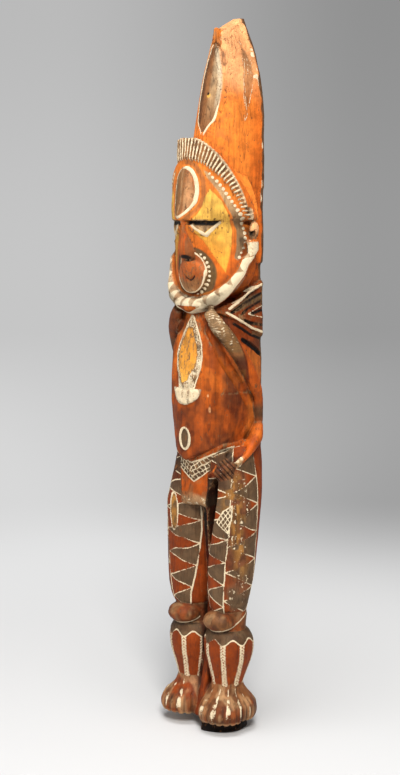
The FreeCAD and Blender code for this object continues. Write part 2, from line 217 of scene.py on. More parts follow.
def gather_field():
    """Distance to the nearest node and to the next one, and which node is nearest."""
    nearest = np.full(GRID_SHAPE, BAND, np.float32)
    second = nearest.copy()
    owner = np.zeros(GRID_SHAPE, np.int8)
    sets = {}
    for number, node in enumerate(NODES):
        low, values = node_level_set(node)
        outer, inner = cells(low, values.shape)
        values = narrowed(node, outer, values[inner])
        sets[node] = (outer, values)
        before = nearest[outer]
        closer = values < before
        second[outer] = np.where(closer, before, np.minimum(second[outer], values))
        owner[outer][closer] = number
        nearest[outer] = np.minimum(before, values)
    return nearest, second, owner, sets


def blur(field, passes):
    """Smooths the field in place."""
    for axis in range(3):
        line = np.moveaxis(field, axis, 0)
        for _ in range(passes):
            line[1:-1] = 0.25 * line[:-2] + 0.5 * line[1:-1] + 0.25 * line[2:]


def block(low_corner, high_corner):
    """Slices of the grid around a box in (x, depth, z), and the places of its cells."""
    low = np.array([low_corner[0], AXIS_Y - high_corner[1], low_corner[2]])
    high = np.array([high_corner[0], AXIS_Y - low_corner[1], high_corner[2]])
    start = np.maximum(np.floor(low / VOXEL).astype(int) - GRID_LOW, 0)
    end = np.minimum(np.ceil(high / VOXEL).astype(int) + 1 - GRID_LOW, GRID_SHAPE)
    window = tuple(slice(a, b) for a, b in zip(start, end))
    axes = [np.arange(a, b, dtype=np.float32) for a, b in zip(start, end)]
    x = (axes[0] + GRID_LOW[0])[:, None, None] * VOXEL
    depth = AXIS_Y - (axes[1] + GRID_LOW[1])[None, :, None] * VOXEL
    z = (axes[2] + GRID_LOW[2])[None, None, :] * VOXEL
    return window, x, depth, z


def segment_distance(places, start, end):
    """Distance from places to a segment, and how far along it the nearest point is, from 0 to 1."""
    along = [b - a for a, b in zip(start, end)]
    length = sum(step * step for step in along) or 1.0
    share = sum((p - a) * step for p, a, step in zip(places, start, along)) / length
    share = np.clip(share, 0, 1)
    gap = sum((p - a - share * step) ** 2 for p, a, step in zip(places, start, along))
    return np.sqrt(gap), share


def chain_box(chain, reach):
    """The box around a chain's links."""
    points = np.array([link[:3] for link in chain])
    return points.min(0) - reach, points.max(0) + reach


def mirrored(chain):
    return [(-link[0],) + tuple(link[1:]) for link in chain]


def both_sides(chains):
    return chains + [mirrored(chain) for chain in chains]


def chain_field(chain, places):
    """Distance to a chain of round links, each a place with its radius after it."""
    best = None
    for one, two in zip(chain, chain[1:]):
        gap, share = segment_distance(places, one[:-1], two[:-1])
        gap = gap - (one[-1] + share * (two[-1] - one[-1]))
        best = gap if best is None else np.minimum(best, gap)
    return best


def smooth_min(a, b, width):
    """The smaller value, with a rounded joint."""
    share = np.clip(0.5 + 0.5 * (b - a) / width, 0, 1)
    return b + (a - b) * share - width * share * (1 - share)


def cut_chain(field, chain, soften=2.0):
    window, x, depth, z = block(*chain_box(chain, max(link[3] for link in chain) + 4))
    cut = chain_field(chain, (x, depth, z))
    field[window] = -smooth_min(-field[window], cut, soften)


def add_chain(field, chain, soften=3.0):
    window, x, depth, z = block(*chain_box(chain, max(link[3] for link in chain) + 3 + soften))
    field[window] = smooth_min(field[window], chain_field(chain, (x, depth, z)), soften)


def shave_chain(field, chain):
    """Thins what lies along a chain by each link's last value."""
    reach = 22.0
    window, x, depth, z = block(*chain_box(chain, reach + 4))
    for one, two in zip(chain, chain[1:]):
        gap, share = segment_distance((x, depth, z), one[:3], two[:3])
        amount = one[3] + share * (two[3] - one[3])
        near = np.clip((reach - gap) / 10, 0, 1)
        field[window] += near * amount * 0.5


def cut_slot(field, line, floor, front):
    """A slot seen from the front, through points (x, z, half_width), down to a floor depth."""
    reach = max(point[2] for point in line) + 4
    xs, zs = [p[0] for p in line], [p[1] for p in line]
    window, x, depth, z = block(
        (min(xs) - reach, floor - 6, min(zs) - reach), (max(xs) + reach, front, max(zs) + reach))
    cut = np.maximum(chain_field(line, (x, z)), floor - depth)
    field[window] = -smooth_min(-field[window], cut, 2.0)


# Deeper carving, as chains of round links (x, depth, z, radius). Grooves, holes, slots and hollows
# are cut away, and ridges, the sides of the belly, the jaw's flare and the hand are added.
BROW_SLIT = [
    (11, 86, BROW_Z - 3, 3.2), (31, 76, BROW_Z - 5, 3.8),
    (47, 63, BROW_Z - 5, 3.4), (56, 51, BROW_Z - 1, 1.8)]
EAR_HOLE = [(99, 3, EAR_Z, 5.5), (90, 1, EAR_Z, 4.5)]
WING_TOP_GROOVE = [(60, 26, 769, 2.0), (69, -8, 786, 3.2), (66, -62, 803, 3.4)]
WING_MID_GROOVE = [(64, 12, 761, 1.6), (70, -14, 775, 2.6), (67, -62, 790, 2.8)]
WING_INNER_GROOVE = [(70, -22, 765, 2.2), (69, -62, 771, 3.6)]
WING_LOW_GROOVE = [(66, 8, 757, 2.0), (71, -16, 748, 3.0), (70, -62, 741, 3.2)]
BELOW_WING_GROOVE = [(65, 20, 748, 2.0), (71, -20, 726, 3.4), (67, -62, 714, 3.6)]
FLANK_SLOT = [(69, 4, 718, 3.0), (68, -20, 706, 5.0), (63, -46, 692, 5.0), (60, -58, 686, 3.0)]
ARM_RECESS = [
    (28, 62, 752, 4.0), (45, 54, 715, 8.0), (62, 38, 672, 9.0),
    (72, 12, 632, 9.0), (76, -8, 596, 6.5), (75, -22, 568, 4.0)]
FLANK_FOLD = [(76, -34, 640, 2.0), (72, -50, 600, 3.5), (68, -58, 566, 3.0)]
ELBOW_HOLLOW = [(66, -10, 556, 3.0), (72, 16, 530, 4.5), (66, 40, 505, 4.0)]
WING_TOP_RIDGE = [(59, 30, 776, 2.2), (66, 3, 793, 3.0), (69, -16, 806, 3.2), (62, -60, 819, 3.0)]
WING_LOW_RIDGE = [(57, 35, 769, 2.2), (65, 5, 751, 2.8), (70, -19, 739, 3.0), (68, -60, 727, 3.0)]
WING_INNER_TOP_RIDGE = [(70, -10, 766, 2.2), (67, -62, 781, 2.4)]
WING_INNER_LOW_RIDGE = [(70, -10, 765, 2.2), (68, -62, 755, 2.4)]
BELLY_SIDE = [
    (34, 50, 742, 12), (36, 53, 700, 17), (37, 54, 650, 18.5),
    (37, 54, 605, 18.5), (36, 52, 570, 17), (34, 50, 540, 12)]
JAW_FLARE = [
    (90, 20, 864, 3), (84, 28, 840, 4), (72, 44, 817, 6),
    (52, 59, 797, 7.5), (26, 68, 784, 8), (0, 71, 781, 8)]
HAND = [(72, 40, 488, 11), (58, 54, 477, 11), (44, 60, 468, 7)]
SHAVED = [
    [(89, 4, 650, 1.0), (88, -14, 604, 4.0), (84, -6, 560, 8.0), (82, 24, 524, 10.0), (70, 48, 494, 6.0)],
    [(47, 56, 34, 3.0), (80, 20, 34, 4.0), (78, -20, 34, 4.0)],
    [(47, 56, 60, 3.0), (74, 20, 60, 4.0), (72, -16, 60, 4.0)]]
WING_GROOVES = [
    WING_TOP_GROOVE, WING_MID_GROOVE, WING_INNER_GROOVE, WING_LOW_GROOVE, BELOW_WING_GROOVE, FLANK_SLOT]
CUTS = [BROW_SLIT, EAR_HOLE] + WING_GROOVES + [ARM_RECESS, FLANK_FOLD, ELBOW_HOLLOW]
ADDITIONS = [WING_TOP_RIDGE, WING_LOW_RIDGE, WING_INNER_TOP_RIDGE, WING_INNER_LOW_RIDGE, BELLY_SIDE]
LOIN_SLOT = [
    (48, 456, 7.0), (44, 432, 11.0), (36, 392, 12.0), (27, 350, 10.0), (17, 312, 6.0), (13, 262, 3.0)]
LOIN_SLOT_FLOOR = 10.0
LOG_REACH = [
    (188, 56), (218, 57), (246, 62), (283, 71), (320, 77), (366, 82.5), (403, 87), (450, 88), (830, 89)]
FAR_REACH = [(380, 99), (421, 86), (458, 79), (495, 71.5), (532, 75), (566, 99)]
FAR_CREST_REACH = 71.0


def crest_rim_depth(share):
    """How far forward the crest's rim stands, by its share of the crest's half width."""
    return 84 * (1 - np.minimum(share, 1) ** 1.6) ** 0.62


def hollow_crest_back(field, slabs):
    """Thins the crest to a flange: behind its rim, the wood falls back to the blade."""
    window, x, depth, z = block((-104, -30, BROW_Z - 2), (104, 90, CREST_Z + 8))
    across, rise = x / CREST_WIDE, np.maximum(z - BROW_Z, 0) / CREST_RISE
    share = np.sqrt(across ** 2 + rise ** 2) + 1e-6
    inset = (1 - share) * CREST_WIDE
    rim_depth = crest_rim_depth(np.abs(x) / share / CREST_WIDE)
    behind = depth - (rim_depth - 7 - 1.5 * np.maximum(inset, 0))
    behind = np.maximum(behind * 0.66, inset - 60)
    lean = 8 * np.clip((BROW_Z + 45 - z) / 40, 0, 1)
    far_edge = -log_edge(x, depth) - FAR_CREST_REACH - lean
    far_side = ring(np.minimum(x + 10, 0), rise, CREST_WIDE - 17, CREST_RISE + 4) * 0.8
    far_side = np.maximum(far_side, np.where(x < 0, far_edge, -BAND))
    kept = np.minimum(np.maximum(np.maximum(field[window], -behind), far_side), slabs[window])
    field[window] = np.minimum(kept, BAND)


def widen_blade(field, sets):
    """The blade is a little fuller than its CAD, but keeps its flat back."""
    for node, extra in (("crown_blade", BLADE_EXTRA), ("nape_slab", NAPE_EXTRA)):
        outer, values = sets[node]
        depth = AXIS_Y - (np.arange(outer[1].start, outer[1].stop) + GRID_LOW[1])[None, :, None] * VOXEL
        fuller = np.maximum(values - extra, BACK_DEPTH - depth)
        field[outer] = np.minimum(field[outer], fuller)


def trim_corners(field):
    """The body stays inside the log it was carved from: its back corners are trimmed to one line."""
    window, x, depth, z = block((-110, -90, KNEE_Z), (110, 100, CHIN_Z + 60))
    beyond = log_edge(np.abs(x), depth) - along_levels(z, LOG_REACH)
    beyond = beyond - 20 * np.clip((KNEE_Z + 34 - z) / 30, 0, 1)
    beyond = np.maximum(beyond, -log_edge(x, depth) - along_levels(z, FAR_REACH))
    field[window] = -smooth_min(-field[window], -beyond, 3.0)


def make_flush(field, low_corner, high_corner, passes):
    """Melts a step between neighbours inside a box, fading towards the box's edges."""
    window, x, depth, z = block(low_corner, high_corner)
    melted = field[window].copy()
    blur(melted, passes)
    fade = 1.0
    for place, low, high in zip((x, depth, z), low_corner, high_corner):
        fade = fade * np.clip(np.minimum(place - low, high - place) / 10, 0, 1)
    field[window] += fade * (melted - field[window])


def carve_field():
    nearest, second, owner, sets = gather_field()
    field = nearest.copy()
    slabs = np.full(GRID_SHAPE, BAND, np.float32)
    for node in ("crown_blade", "nape_slab", "forehead", "face_mask"):
        outer, values = sets[node]
        slabs[outer] = np.minimum(slabs[outer], values)
    widen_blade(field, sets)
    widen_blade(slabs, sets)
    hollow_crest_back(field, slabs)
    for chain in both_sides(ADDITIONS):
        add_chain(field, chain)
    add_chain(field, HAND)
    for chain in both_sides([JAW_FLARE]):
        add_chain(field, chain, soften=16.0)
    for chain in both_sides(SHAVED):
        shave_chain(field, chain)
    trim_corners(field)
    blur(field, 3)
    for side in (1, -1):
        ends = sorted((side * 44, side * 106))
        make_flush(field, (ends[0], 2, BROW_Z - 30), (ends[1], 84, BROW_Z + 30), 45)
    make_flush(field, (-52, 4, CROTCH_Z - 26), (40, 78, CROTCH_Z + 26), 40)
    for chain in both_sides(CUTS):
        cut_chain(field, chain)
    cut_slot(field, LOIN_SLOT, LOIN_SLOT_FLOOR, 90)
    blur(field, 1)
    return field, nearest, second, owner, sets


def sample(field, points):
    """Field values at (n, 3) points in millimetres, in the row frame."""
    scaled = points / VOXEL - GRID_LOW
    cell = np.clip(np.floor(scaled).astype(np.int64), 0, GRID_SHAPE - 2)
    share = np.clip(scaled - cell, 0, 1).astype(np.float32)
    return between_cells(field, cell.T, share.T)


def field_normals(field, points):
    steps = []
    for axis in range(3):
        offset = np.zeros(3)
        offset[axis] = VOXEL
        steps.append(sample(field, points + offset) - sample(field, points - offset))
    normals = np.stack(steps, 1)
    return normals / (np.linalg.norm(normals, axis=1, keepdims=True) + 1e-6)


def lift(z):
    """How far the middle of the figure rises over its CAD, to bring its marks to their true heights."""
    slope = LIFT_AT_CREST + (CREST_Z - z) * LIFT_RATE
    low = np.clip((z - KNEE_Z) / 220, 0, 1)
    high = np.clip((TOP_Z - z) / 160, 0, 1)
    return slope * low * low * (3 - 2 * low) * high


def mesh_node(field, second, nearest, owner, node_set, number):
    """A node's share of the field as points and quads. It dives under its neighbours at each joint."""
    outer, values = node_set
    reach = int(6 / VOXEL)
    mine = owner[outer] == number
    other = np.where(mine, second[outer], nearest[outer])
    region = 0.5 * (values - other)
    piece = np.maximum(field[outer] + DIVE * np.maximum(region, 0), region - OVERLAP)
    piece = np.pad(np.minimum(piece, BAND), reach, constant_values=BAND)
    grid = openvdb.FloatGrid(BAND)
    grid.copyFromArray(np.ascontiguousarray(piece, np.float32), tolerance=0.0)
    points, quads = grid.convertToQuads(0.0)
    low = GRID_LOW + np.array([s.start for s in outer]) - reach
    return (points + low) * VOXEL, quads


# ---------------------------------------------------------------- paint

PALETTE = {
    "orange": (238, 132, 46), "peach": (240, 176, 120), "deep_orange": (208, 94, 22),
    "belly_red": (166, 74, 12), "red_brown": (140, 58, 10), "deep_red": (80, 24, 4),
    "yellow": (238, 184, 80), "yellow_deep": (228, 152, 52), "cream": (232, 212, 176),
    "tan": (196, 156, 110), "brown": (144, 94, 54), "dark_brown": (80, 48, 28),
    "grey_brown": (104, 80, 56), "olive": (118, 88, 50), "black": (22, 12, 8),
    "raw": (100, 70, 45), "ochre": (176, 122, 56), "grey": (168, 152, 126),
}


def linear(name):
    """A palette colour as linear light."""
    share = np.array(PALETTE[name]) / 255
    return np.where(share <= 0.04045, share / 12.92, ((share + 0.055) / 1.055) ** 2.4)


def soft(distance, width=1.0):
    """1 well inside (negative distance), 0 outside, and a soft edge between."""
    share = np.clip(0.5 - distance / (2 * width), 0, 1)
    return share * share * (3 - 2 * share)


def between(value, low, high, width=1.0):
    return soft(low - value, width) * soft(value - high, width)


def stroke(u, v, points):
    """Distance to a line through points, in a chart (u, v)."""
    return chain_field([tuple(point) + (0,) for point in points], (u, v))


def area(u, v, corners):
    """Signed distance to a closed outline, negative inside."""
    closed = list(corners) + [corners[0]]
    inside = np.zeros(len(u), bool)
    for (u1, v1), (u2, v2) in zip(closed, closed[1:]):
        crosses = (v1 > v) != (v2 > v)
        inside ^= crosses & (u < (u2 - u1) * (v - v1) / ((v2 - v1) or 1e-9) + u1)
    return np.where(inside, -1, 1) * stroke(u, v, closed)


def ring(u, v, half_width, half_height):
    """Rough signed distance to an ellipse about the chart's origin."""
    share = np.sqrt((u / half_width) ** 2 + (v / half_height) ** 2)
    slope = np.sqrt((u / half_width ** 2) ** 2 + (v / half_height ** 2) ** 2) + 1e-6
    return (share - 1) * share / slope


def net_distance(u, v, pitch):
    """Distance to the nearest line of a net whose two sets of lines cross u and v at a pitch."""
    return np.minimum(np.abs(u % pitch - pitch / 2), np.abs(v % pitch - pitch / 2))


def zigzag(value, period):
    """0 to 1 and back, once each period."""
    turn = (value / period) % 1.0
    return 1 - np.abs(2 * turn - 1)


class Skin:
    """What a piece's points carry: pigment, chalk, bareness and relief along the surface's normal."""

    def __init__(self, points, normals):
        self.x = points[:, 0]
        self.depth = AXIS_Y - points[:, 1]
        self.z = points[:, 2]
        self.normals = normals
        self.outward = normals[:, 0] * np.sign(points[:, 0])
        self.side = np.abs(self.x)
        self.turn = np.degrees(np.arctan2(self.side, self.depth))
        count = len(self.x)
        self.colour = np.tile(linear("orange"), (count, 1))
        self.chalk = np.zeros(count)
        self.bare = np.zeros(count)
        self.relief = np.zeros(count)
        self.wobble = self.spread(9.0) * 2.4 + self.spread(28.0, 50) * 3.0
        self.wobble_up = self.spread(9.0, 90) * 2.4

    def spread(self, size, offset=0.0, tall=1.0):
        """Noise from -0.5 to 0.5. Each offset gives its own pattern; tall stretches it upwards."""
        x, depth, z = self.x + offset + 500, self.depth + 2 * offset + 500, (self.z + offset) / tall
        return noise(x, depth, z, size) - 0.5

    def patches(self, size, offset=0.0, tall=1.0, level=0.0, width=0.1):
        """Soft-edged patches where the noise is over a level."""
        return soft(level - self.spread(size, offset, tall), width)

    def ground(self, name, share=1.0):
        """An even coat over the whole piece."""
        self.coat(np.ones(len(self.x)) * share, name)

    def coat(self, cover, name, relief=0.0, over_chalk=True):
        """Pigment laid over what is there; relief raises or sinks the surface under it."""
        self.colour += cover[:, None] * (linear(name) - self.colour)
        self.relief += cover * relief
        if over_chalk:
            self.chalk *= 1 - cover

    def chalked(self, cover, relief=0.5):
        """White chalk, left as it is where there is more already."""
        self.chalk = np.maximum(self.chalk, cover)
        self.relief += cover * relief

    def line(self, distance, width, relief=0.5, strength=1.0):
        """A chalk line where the distance is less than half its width."""
        self.chalked(soft(distance - width / 2, 0.9) * strength, relief)


LEG_MARK_DROP = 14.5


def leg_height(skin):
    """The height that each point of a leg has in the legs' painted pattern."""
    return skin.z + lift(skin.z) - LEG_MARK_DROP


def limb_turn(skin, axis):
    """Degrees round a leg: 0 at its front, positive outwards, away from the other leg."""
    return np.degrees(np.arctan2(skin.side - axis[0], skin.depth - axis[1]))


def paint_back(skin):
    """The flat back of the log is bare, adzed wood; pigment stops raggedly at its corners."""
    ragged = BACK_CORNER_DEPTH + skin.spread(14, 30) * 8
    cover = soft(skin.depth - ragged, 1.5)
    skin.coat(cover, "raw")
    skin.bare = np.maximum(skin.bare, cover)
    level = np.zeros(len(skin.z))
    strips = noise(skin.x + 900, level + 5, skin.z * 0.12 + 300, 17.0) - 0.5
    scallops = noise(skin.x + 300, level + 9, skin.z + 100, 19.0) - 0.5
    skin.relief += cover * (strips * 1.6 + scallops * 1.4)


def paint_blade(skin):
    """Orange blade with a long leaf on its front, a ring at the hole and a narrow leaf on each flank."""
    angle = np.degrees(np.arctan2(skin.side, skin.depth + 61))
    z, x = skin.z, skin.x
    wob = skin.wobble
    skin.ground("orange")
    # Painted highlight: the upper blade is painted paler peach, as if lit more strongly from above.
    skin.coat(soft(1195 - z + skin.spread(50, 7) * 70, 45) * 0.75, "peach")
    skin.coat(between(angle, 66, 90, 12) * soft(z - 1180, 60) * 0.6, "deep_orange")
    skin.coat(soft(z - 1085, 60) * soft(50 - angle, 20) * 0.55, "deep_orange")
    # The leaf on the front, hung between the point and the crest.
    leaf_low, leaf_high = 1092.0, 1274.0
    share = np.clip((z - leaf_low) / (leaf_high - leaf_low), 0, 1)
    leaf_half = 24.5 * np.sin(np.pi * share ** 0.78) ** 0.72 * np.clip(share / 0.16, 0, 1) ** 0.7
    edge = np.abs(x) - leaf_half + wob * 0.5
    past_tips = np.maximum(leaf_low - z, z - leaf_high)
    edge = np.where(past_tips > 0, np.abs(x) + 3 + past_tips, edge)
    inside = soft(edge, 1.2)
    skin.coat(inside, "brown", relief=-0.9)
    skin.coat(inside * soft(-x + skin.spread(40, 3, 6) * 12, 5) * soft(1140 - z, 40), "tan")
    skin.coat(inside * soft(x + 11 + skin.spread(30, 5, 6) * 9, 4) * 0.55, "dark_brown")
    skin.coat(inside * soft(1195 - z, 30) * soft(4 - x, 4) * 0.5, "grey")
    width = 3.0 + 3.4 * soft(z - 1140, 25) * soft(-x, 3)
    skin.line(np.abs(edge) + 0.6, width, relief=0.7)
    pale = between(edge, -7, 1, 2) * soft(-x, 2) * between(z, 1150, 1262, 15)
    skin.coat(pale * 0.75, "cream")
    # A pale ring hangs below the drilled hole.
    hole = np.hypot(x - 1.5, z - HOLE_Z + 3.5)
    skin.coat(soft(hole - 4.2, 1.2) * soft(10 - skin.depth, 3) * 0.8, "yellow")
    skin.coat(soft(np.hypot(x, z - HOLE_Z) - 2.8, 0.8) * soft(10 - skin.depth, 3), "black")
    # A narrow second leaf on each flank, and flecks along the back corner.
    flank = area(angle + wob * 0.6, z * 0.72, [
        (42, 1274 * 0.72), (58, 1254 * 0.72), (71, 1232 * 0.72), (72, 1205 * 0.72), (60, 1160 * 0.72),
        (52, 1120 * 0.72), (50, 1160 * 0.72), (50, 1234 * 0.72)])
    skin.coat(soft(flank, 1.8) * 0.5, "brown", relief=-0.4)
    skin.coat(soft(flank + 3, 1.5) * (0.3 + skin.spread(12, 60, 5) * 0.9), "grey_brown")
    skin.line(np.abs(flank), 1.3, strength=0.62 + skin.spread(16, 8) * 0.6)
    stripes = np.abs(((angle + skin.spread(20, 4, 3) * 5) % 7.0) - 3.5)
    kept = skin.spread(18, 44, 4) > -0.05
    skin.chalked(soft(stripes - 0.5, 0.6) * soft(flank + 2, 1) * kept * 0.8, 0.3)
    flecks = between(angle, 72, 84, 3) * between(z, 1190, 1262, 8) * (skin.spread(7, 12) > 0.06)
    skin.chalked(flecks * 0.9, 0.3)
    corner = between(angle, 84, 92, 2) * (skin.spread(8, 21, 3) > 0.12) * soft(z - 1230, 10)
    skin.chalked(corner * 0.75, 0.2)
    # Painted shade: the blade's sides, turned away from the front, are painted darker orange.
    skin.coat(between(angle, 86, 130, 2) * 0.7, "deep_orange", over_chalk=False)
    # Painted highlight: the very top of the blade is painted paler.
    skin.coat(soft(TOP_Z - 30 - z, 8) * 0.35, "peach")
    paint_back(skin)


def paint_stub(skin):
    skin.ground("orange")
    skin.coat(soft(skin.spread(5, 3, 3), 0.2) * 0.7, "tan")
    skin.coat(soft(skin.z - 1278, 6) * 0.5, "brown")
    skin.relief += skin.spread(5, 9, 3) * 4.0 - 1.0


def arch_length(turns):
    """Length along the crest's arch from its top to each turn in degrees, both ways."""
    steps = np.radians(np.linspace(0, 100, 201))
    speed = np.hypot(CREST_WIDE * np.cos(steps), CREST_RISE * np.sin(steps))
    table = np.concatenate([[0], np.cumsum((speed[1:] + speed[:-1]) / 2 * np.diff(steps))])
    return np.interp(np.abs(turns), np.degrees(steps), table) * np.sign(turns)


STRIPE_PITCH = 7.8
JAW_PITCH = 25.0


def paint_crest(skin):
    """White stripes between carved grooves, from the orange band out to a thin cream rim."""
    rise = skin.z - BROW_Z
    turns = np.degrees(np.arctan2(skin.x / CREST_WIDE, np.maximum(rise, -8) / CREST_RISE))
    length = arch_length(turns) + skin.spread(30, 66) * 3.0
    outer = ring(skin.x, rise, CREST_WIDE + 2, CREST_RISE + 3)
    inner = ring(skin.x, rise, CREST_WIDE - 6, 110)
    share = np.sqrt((skin.x / CREST_WIDE) ** 2 + (np.maximum(rise, 0) / CREST_RISE) ** 2) + 1e-6
    rim_depth = crest_rim_depth(np.abs(skin.x) / share / CREST_WIDE)
    front = soft(skin.normals[:, 1] + 0.22, 0.10) * soft(rim_depth - 11 - skin.depth, 2)
    band = soft(-inner - 1, 0.8) * front
    skin.ground("orange")
    skin.coat(band, "tan")
    phase = np.abs((length / STRIPE_PITCH) % 1.0 - 0.5) * STRIPE_PITCH
    groove = soft(1.7 - phase, 0.7)
    skin.coat(band * groove, "brown", relief=-1.3)
    skin.coat(band * groove * soft(skin.spread(9, 31), 0.2) * 0.7, "grey_brown")
    skin.chalked(band * soft(phase - 1.6, 0.6) * (0.74 + skin.spread(6, 77) * 0.9), 0.5)
    rim = between(outer, -3.2, 3, 0.7) * front
    skin.coat(rim * 0.8, "cream", relief=0.4)
    skin.coat(soft(skin.spread(7, 18), 0.2) * rim * 0.5, "tan")
    behind = 1 - soft(skin.normals[:, 1] + 0.12, 0.10)
    skin.coat(behind * 0.6, "deep_orange")


# Outlines of the face's bands, as (degrees round the head, z).
YELLOW_OUTER = [(34, 997), (42, 985), (50, 973), (59, 947), (64.5, 920), (64, 893), (60, 865), (56, 842)]
YELLOW_INNER = [
    (46, 860), (34, 882), (24, 901), (14, 914), (12, 930), (12, 938), (18, 948), (24, 963), (27, 979)]
BAND_INNER = [
    (25, 1030), (30, 1016), (38, 1003), (45, 990), (52, 973), (62, 948), (70, 920), (70, 893), (67, 870)]
DOT_LINE = [
    (31, 1026), (37, 1017), (43, 1008), (51.5, 994), (60, 975), (69, 958),
    (75, 943), (80, 925), (81, 908), (78, 885), (71, 866)]
DEGREE = 1.42


def in_chart(points):
    """(degrees, z) points in a chart that is about true to scale on the mask."""
    return [(degrees * DEGREE, z) for degrees, z in points]


def paint_face_bands(skin):
    """Nested bands of the face: dotted grey, orange and a yellow cheek panel on each side."""
    u = skin.turn * DEGREE + skin.wobble * 0.55
    v = skin.z + skin.wobble_up * 0.5
    skin.ground("orange")
    low = soft(skin.z - 900, 30)
    skin.coat(low * 0.7, "deep_orange")
    jaw_gap = ring(skin.x, skin.z - JAW_CENTRE_Z, JAW_WIDE - 8, JAW_CENTRE_Z - CHIN_Z - 27)
    skin.coat(soft(-14 - jaw_gap, 8) * low * 0.7, "belly_red")
    grey = area(u, v, in_chart(BAND_INNER + DOT_LINE[::-1]))
    skin.coat(soft(grey, 1.1), "tan", relief=-0.4)
    skin.coat(soft(grey, 1.1) * soft(skin.z - 955, 25) * 0.55, "grey_brown")
    yellow = area(u, v, in_chart(YELLOW_OUTER + YELLOW_INNER))
    skin.coat(soft(yellow, 0.9), "yellow", relief=0.3)
    skin.coat(soft(yellow, 0.9) * soft(skin.z - 902 + skin.spread(20, 2) * 30, 25) * 0.85, "yellow_deep")
    outline = soft(np.abs(yellow) - 0.9, 0.8)
    skin.coat(outline * 0.55, "deep_orange", relief=-0.5)
    dots = in_chart(DOT_LINE)
    spaced = resample(dots, 9.2)
    gap = np.full(len(u), 99.0)
    for du, dv in spaced:
        gap = np.minimum(gap, np.hypot(u - du + skin.wobble * 0.35, v - dv))
    skin.chalked(soft(gap - 2.9 - skin.spread(17, 88) * 2.4, 0.8), 0.8)


def resample(points, pitch):
    """Points at an even pitch along a line."""
    line = np.array(points, float)
    lengths = np.concatenate([[0], np.cumsum(np.hypot(*np.diff(line, axis=0).T))])
    stops = np.arange(pitch / 2, lengths[-1], pitch)
    return list(zip(np.interp(stops, lengths, line[:, 0]), np.interp(stops, lengths, line[:, 1])))


def paint_medallion(skin):
    """An egg-shaped ring on the forehead, around a brown field with paler streaks."""
    x = skin.x + skin.wobble * 0.4 - 1
    x = x + 8 * soft(skin.z - 958, 16)
    oval = ring(x, skin.z - MEDALLION_Z, 28.5, 48)
    cover = soft(oval, 0.8)
    skin.coat(cover, "brown")
    skin.coat(cover * soft(-x + 3 + skin.spread(60, 5, 5) * 14, 4) * 0.45, "deep_orange")
    skin.coat(cover * skin.patches(18, 64, 3, level=0.04, width=0.12) * 0.6, "tan")
    skin.coat(cover * soft(np.abs(x + 5 + skin.spread(30, 9, 5) * 8) - 2, 2) * 0.5, "tan")
    skin.coat(cover * soft(x + 10, 6) * 0.5, "olive")
    skin.coat(between(oval, 3, 11, 2) * soft(-x - 6, 6) * 0.55, "grey_brown")
    faded = 0.60 + 0.32 * soft(-x + 4, 12) + skin.spread(24, 19) * 0.35
    width = 3.0 + 3.4 * soft(-x - 2, 8)
    skin.coat(soft(np.abs(oval + width / 2) - width / 2, 1.0) * 0.7, "grey")
    skin.line(np.abs(oval + width / 2), width, relief=1.2, strength=np.clip(faded * 0.92, 0, 1))


def paint_eye(skin):
    """A grey eye under the brow, over a white lid in the shape of a shallow V."""
    u, v = skin.side + skin.wobble * 0.3, skin.z
    eye = area(u, v, [(18, 929), (36, 916), (54, 934), (40, 940), (22, 940)])
    skin.coat(soft(eye, 1), "tan")
    skin.coat(soft(eye, 1) * soft(skin.spread(8, 13), 0.2), "grey_brown")
    lid = stroke(u, v, [(17, 930), (20, 925), (37, 911.5), (46, 921), (56, 935)])
    thick = 4.4 + 1.6 * soft(np.abs(u - 38) - 8, 4)
    skin.line(lid, thick, relief=1.3)
    # Painted shadow: the slit under the brow's overhang is painted black.
    slit = between(v, BROW_Z - 8.2, BROW_Z + 0.5, 0.9) * between(u, 9, 54, 1.5)
    skin.coat(slit * soft(v - (BROW_Z - 0.2), 0.6) * soft(2.2 - lid, 1), "black")


def paint_mouth(skin):
    """An oval muzzle ringed in white with a row of small teeth, and a short closed mouth."""
    x, v = skin.x + skin.wobble * 0.35, skin.z + skin.wobble_up * 0.35 - MOUTH_Z
    oval = ring(x, v, 33, 40)
    near = soft(skin.z - 888, 2)
    crescent = soft(oval - 15 + np.maximum(0, skin.z - 850) * 0.16, 1.5) * soft(-oval, 1)
    crescent = crescent * near * soft(14 - skin.side, 3)
    skin.coat(crescent, "olive", relief=-0.5)
    skin.coat(crescent * soft(skin.spread(9, 26), 0.25) * 0.6, "grey_brown")
    cover = soft(oval, 0.8) * near
    skin.coat(cover, "brown")
    skin.coat(cover * skin.patches(14, 12, 2, level=0.02, width=0.16) * 0.6, "tan")
    skin.coat(cover * soft(x + 2, 8) * 0.35, "grey_brown")
    skin.coat(cover * soft(-v - 14 - skin.spread(12, 3) * 10, 5) * 0.6, "deep_orange")
    fade = np.clip(0.8 + skin.spread(13, 18) * 0.8, 0, 1)
    skin.chalked(soft(np.abs(oval + 1.2) - 1.5, 0.8) * near * soft(skin.z - 886, 2) * fade, 0.9)
    turns = np.degrees(np.arctan2(x, -v))
    tooth = np.hypot(((turns + 6) % 13.0 - 6.5) * 0.66, oval - 3.6)
    teeth = soft(tooth - 2.3 - skin.spread(12, 8) * 1.5, 0.7) * near
    skin.chalked(teeth * soft(skin.z - 878, 2) * soft(4 - x, 6), 0.9)
    smile = stroke(skin.x, skin.z, [(-9, 835), (-3, 830), (3, 828), (9, 831), (13, 836)])
    skin.coat(soft(smile - 1.4, 0.6), "black", relief=-1.8)
    lip = stroke(skin.x, skin.z, [(-7, 840), (2, 834), (10, 839)])
    skin.coat(soft(lip - 1.2, 0.8) * 0.6, "ochre", relief=0.8)
    # A black nostril, with the shadow under the nose tip painted in with it.
    nostril_and_shadow = np.hypot((skin.x - 3) / 2.3, skin.z - low_z("nose") + 1.0)
    skin.coat(soft(nostril_and_shadow - 4.4, 0.8), "black", relief=-1.0)


